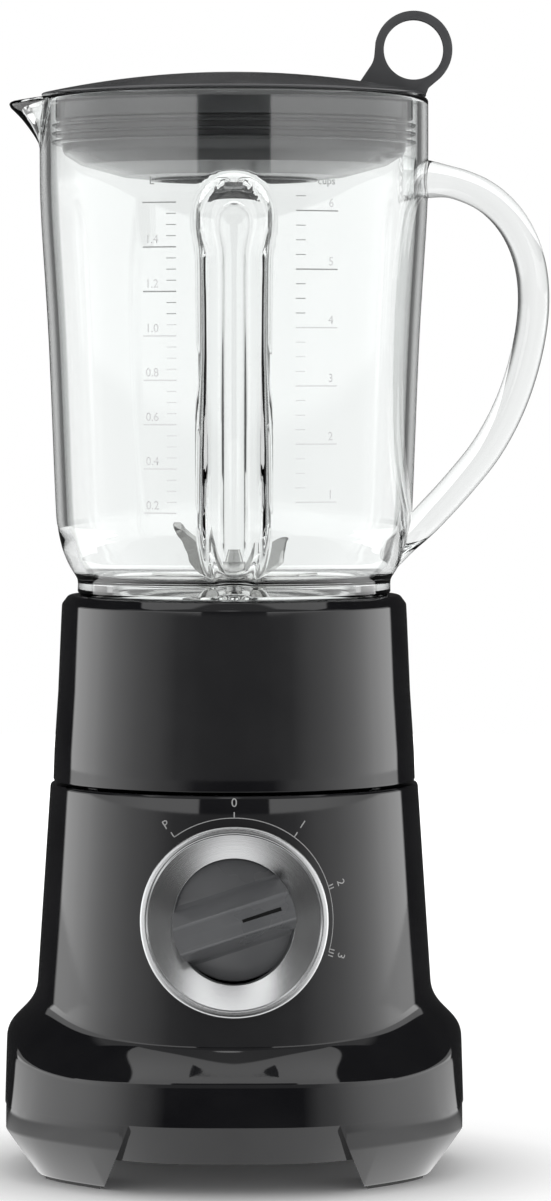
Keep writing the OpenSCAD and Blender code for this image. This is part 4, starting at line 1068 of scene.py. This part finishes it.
def ray_level(tree, camera, glossy, glass, diffuse):
    """A strength that differs for what the camera, a reflection, a refraction and plain light meet."""
    paths = add_node(tree, "ShaderNodeLightPath")
    level = glossy
    for ray, other in (("Is Transmission Ray", glass), ("Is Diffuse Ray", diffuse), ("Is Camera Ray", camera)):
        level = blend(tree, paths.outputs[ray], level, other)
    return level


def curve_level(tree, source, stops):
    """A strength read off a curve: stops are (source, strength), joined by straight lines."""
    full, peak = stops[-1][0], max(strength for _, strength in stops)
    ramp = add_node(tree, "ShaderNodeValToRGB", {"Fac": calculate(tree, "DIVIDE", source, full)})
    marks = ramp.color_ramp.elements
    while len(marks) < len(stops):
        marks.new(0.5)
    for mark, (place, strength) in zip(marks, stops):
        mark.position = place / full
        mark.color = (strength / peak, strength / peak, strength / peak, 1)
    return calculate(tree, "MULTIPLY", ramp.outputs["Color"], peak)


def set_place(tree):
    """Where a point of the set lies: degrees off the camera's direction, distance from the axis, and height."""
    place = add_node(tree, "ShaderNodeTexCoord")
    split = add_node(tree, "ShaderNodeSeparateXYZ", {"Vector": place.outputs["Object"]})
    ahead = calculate(tree, "MULTIPLY", split.outputs["Y"], -1)
    aside = calculate(tree, "ABSOLUTE", split.outputs["X"])
    turn = calculate(tree, "DEGREES", calculate(tree, "ARCTAN2", aside, ahead))
    return turn, axis_distance(tree, split), split.outputs["Z"]


def wall_levels(tree):
    """Softboxes at both sides, other ones above them and a dim light at the top."""
    turn, _, height = set_place(tree)
    high_box = step_up(tree, height, *HIGH_BOX_Z)
    glossy = blend(tree, high_box, curve_level(tree, turn, SOFTBOXES), curve_level(tree, turn, HIGH_SOFTBOXES))
    glossy = blend(tree, step_up(tree, height, *TOP_LIGHT_Z), glossy, curve_level(tree, turn, TOP_LIGHT))
    glass = blend(tree, high_box, curve_level(tree, turn, BESIDE_GLASS), curve_level(tree, turn, THROUGH_GLASS))
    return 1.0, glossy, glass, 1.0


def floor_levels(tree):
    """White board under the object, shaded by the object, with a painted shadow where its glow fades out under
    and round it; beyond its front edge the floor is dark to gloss.
    """
    turn, reach, _ = set_place(tree)
    # The glow that the camera and the glass see fades to nothing near the axis: a painted shadow under the
    # object
    own = curve_level(tree, reach, FLOOR_GLOW_PAINTED_SHADOW)
    glossy = blend(tree, step_up(tree, reach, *BOARD_EDGE_R), curve_level(tree, turn, BOARD),
                   curve_level(tree, turn, FRONT_GAP))
    return own, glossy, own, 0.35


def slant(tree, x, y, x_share, y_share, start):
    """start + x_share * x + y_share * y, as a distance inside a slanting edge."""
    total = calculate(tree, "MULTIPLY_ADD", x, x_share, start)
    return calculate(tree, "MULTIPLY_ADD", y, y_share, total)


def ceiling_levels(tree):
    """An overhead softbox with slanting ends and front edge, a dim ceiling before it and a small spot."""
    place = add_node(tree, "ShaderNodeTexCoord").outputs["Object"]
    split = add_node(tree, "ShaderNodeSeparateXYZ", {"Vector": place})
    aside, along = calculate(tree, "ABSOLUTE", split.outputs["X"]), split.outputs["Y"]
    ends = slant(tree, aside, along, -1, -0.67, 1.17)
    front = slant(tree, aside, along, 0.42, 1, 0.3)
    glossy = blend(tree, step_up(tree, ends, 0, 0.06), 0.03, 1.6)
    glossy = blend(tree, step_up(tree, front, -0.05, 0.05), 0.42, glossy)
    # A small round spot high in front, a little to the left
    spot_at = (-0.12, -1.85, CEILING_Z)
    spot = add_node(tree, "ShaderNodeVectorMath", {0: place, 1: spot_at}, operation="DISTANCE")
    glossy = blend(tree, step_up(tree, spot.outputs["Value"], 0.2, 0.34), 3.0, glossy)
    return 1.0, glossy, 0.6, 1.0


def set_material(name, albedo, levels):
    """Paint of the set: a diffuse coat, left out of reflections, and its own light, from levels(tree)."""
    paint = bpy.data.materials.new(name)
    paint.use_nodes = True
    paint.cycles.emission_sampling = "NONE"
    tree = paint.node_tree
    tree.nodes.remove(tree.nodes["Principled BSDF"])
    glow = add_node(tree, "ShaderNodeEmission", {"Strength": ray_level(tree, *levels(tree))})
    coat = ray_level(tree, albedo, 0.0, 0.6 * albedo, albedo)
    dull = add_node(tree, "ShaderNodeBsdfDiffuse", {"Color": coat})
    both = add_node(tree, "ShaderNodeAddShader", {0: glow.outputs[0], 1: dull.outputs[0]})
    connect(tree, tree.nodes["Material Output"], {"Surface": both.outputs[0]})
    return paint


def stage_mesh(name, points, faces, albedo, levels):
    """A piece of the set, from points in metres."""
    mesh = bpy.data.meshes.new(name)
    mesh.from_pydata(points, [], faces)
    mesh.materials.append(set_material(name, albedo, levels))
    piece = bpy.data.objects.new(name, mesh)
    bpy.context.scene.collection.objects.link(piece)
    return piece


def studio():
    """A round wall of light with the floor inside it and a ceiling over it, in plain bright air."""
    ring = circle(WALL_R, 180)
    count = len(ring)
    points = [(x, y, z) for z in (FLOOR_EDGE_Z, CEILING_Z) for x, y in ring]
    faces = [(i, (i + 1) % count, count + (i + 1) % count, count + i) for i in range(count)]
    disc = [tuple(range(count))]
    wall = stage_mesh("backdrop", points, faces, 0.0, wall_levels)
    stage_mesh("floor", [(x, y, 0) for x, y in ring], disc, 0.8, floor_levels)
    ceiling = stage_mesh("ceiling", [(x, y, CEILING_Z) for x, y in ring], disc, 0.0, ceiling_levels)
    wall.visible_camera = ceiling.visible_camera = False
    world = bpy.data.worlds.new("studio_air")
    world.use_nodes = True
    tree = world.node_tree
    air = next(node for node in tree.nodes if node.type == "BACKGROUND")
    connect(tree, air, {"Color": (1, 1, 1, 1), "Strength": ray_level(tree, 1.0, 0.06, 0.35, 0.9)})
    bpy.context.scene.world = world


def camera():
    """A long lens in front, a little below the jug's middle, aimed at the object's own middle."""
    lens = bpy.data.cameras.new("camera")
    lens.lens = 159.8
    lens.sensor_width = 36
    holder = bpy.data.objects.new("camera", lens)
    holder.location = (0, -1.919, 0.2875)
    sight = Vector((0.0149, 0, 0.2049)) - holder.location
    holder.rotation_euler = sight.to_track_quat("-Z", "Y").to_euler()
    bpy.context.scene.collection.objects.link(holder)
    bpy.context.scene.camera = holder


camera()
studio()
finish_nodes()
motor_base()
dial_pocket()
jug_seat()
dial_bezel()
speed_dial()
dial_scale()
jug_collar()
blade_base()
glass_jug()
measuring_marks()
lid()
lid_seal()
measuring_cap()

bpy.context.scene.view_settings.view_transform = "Standard"
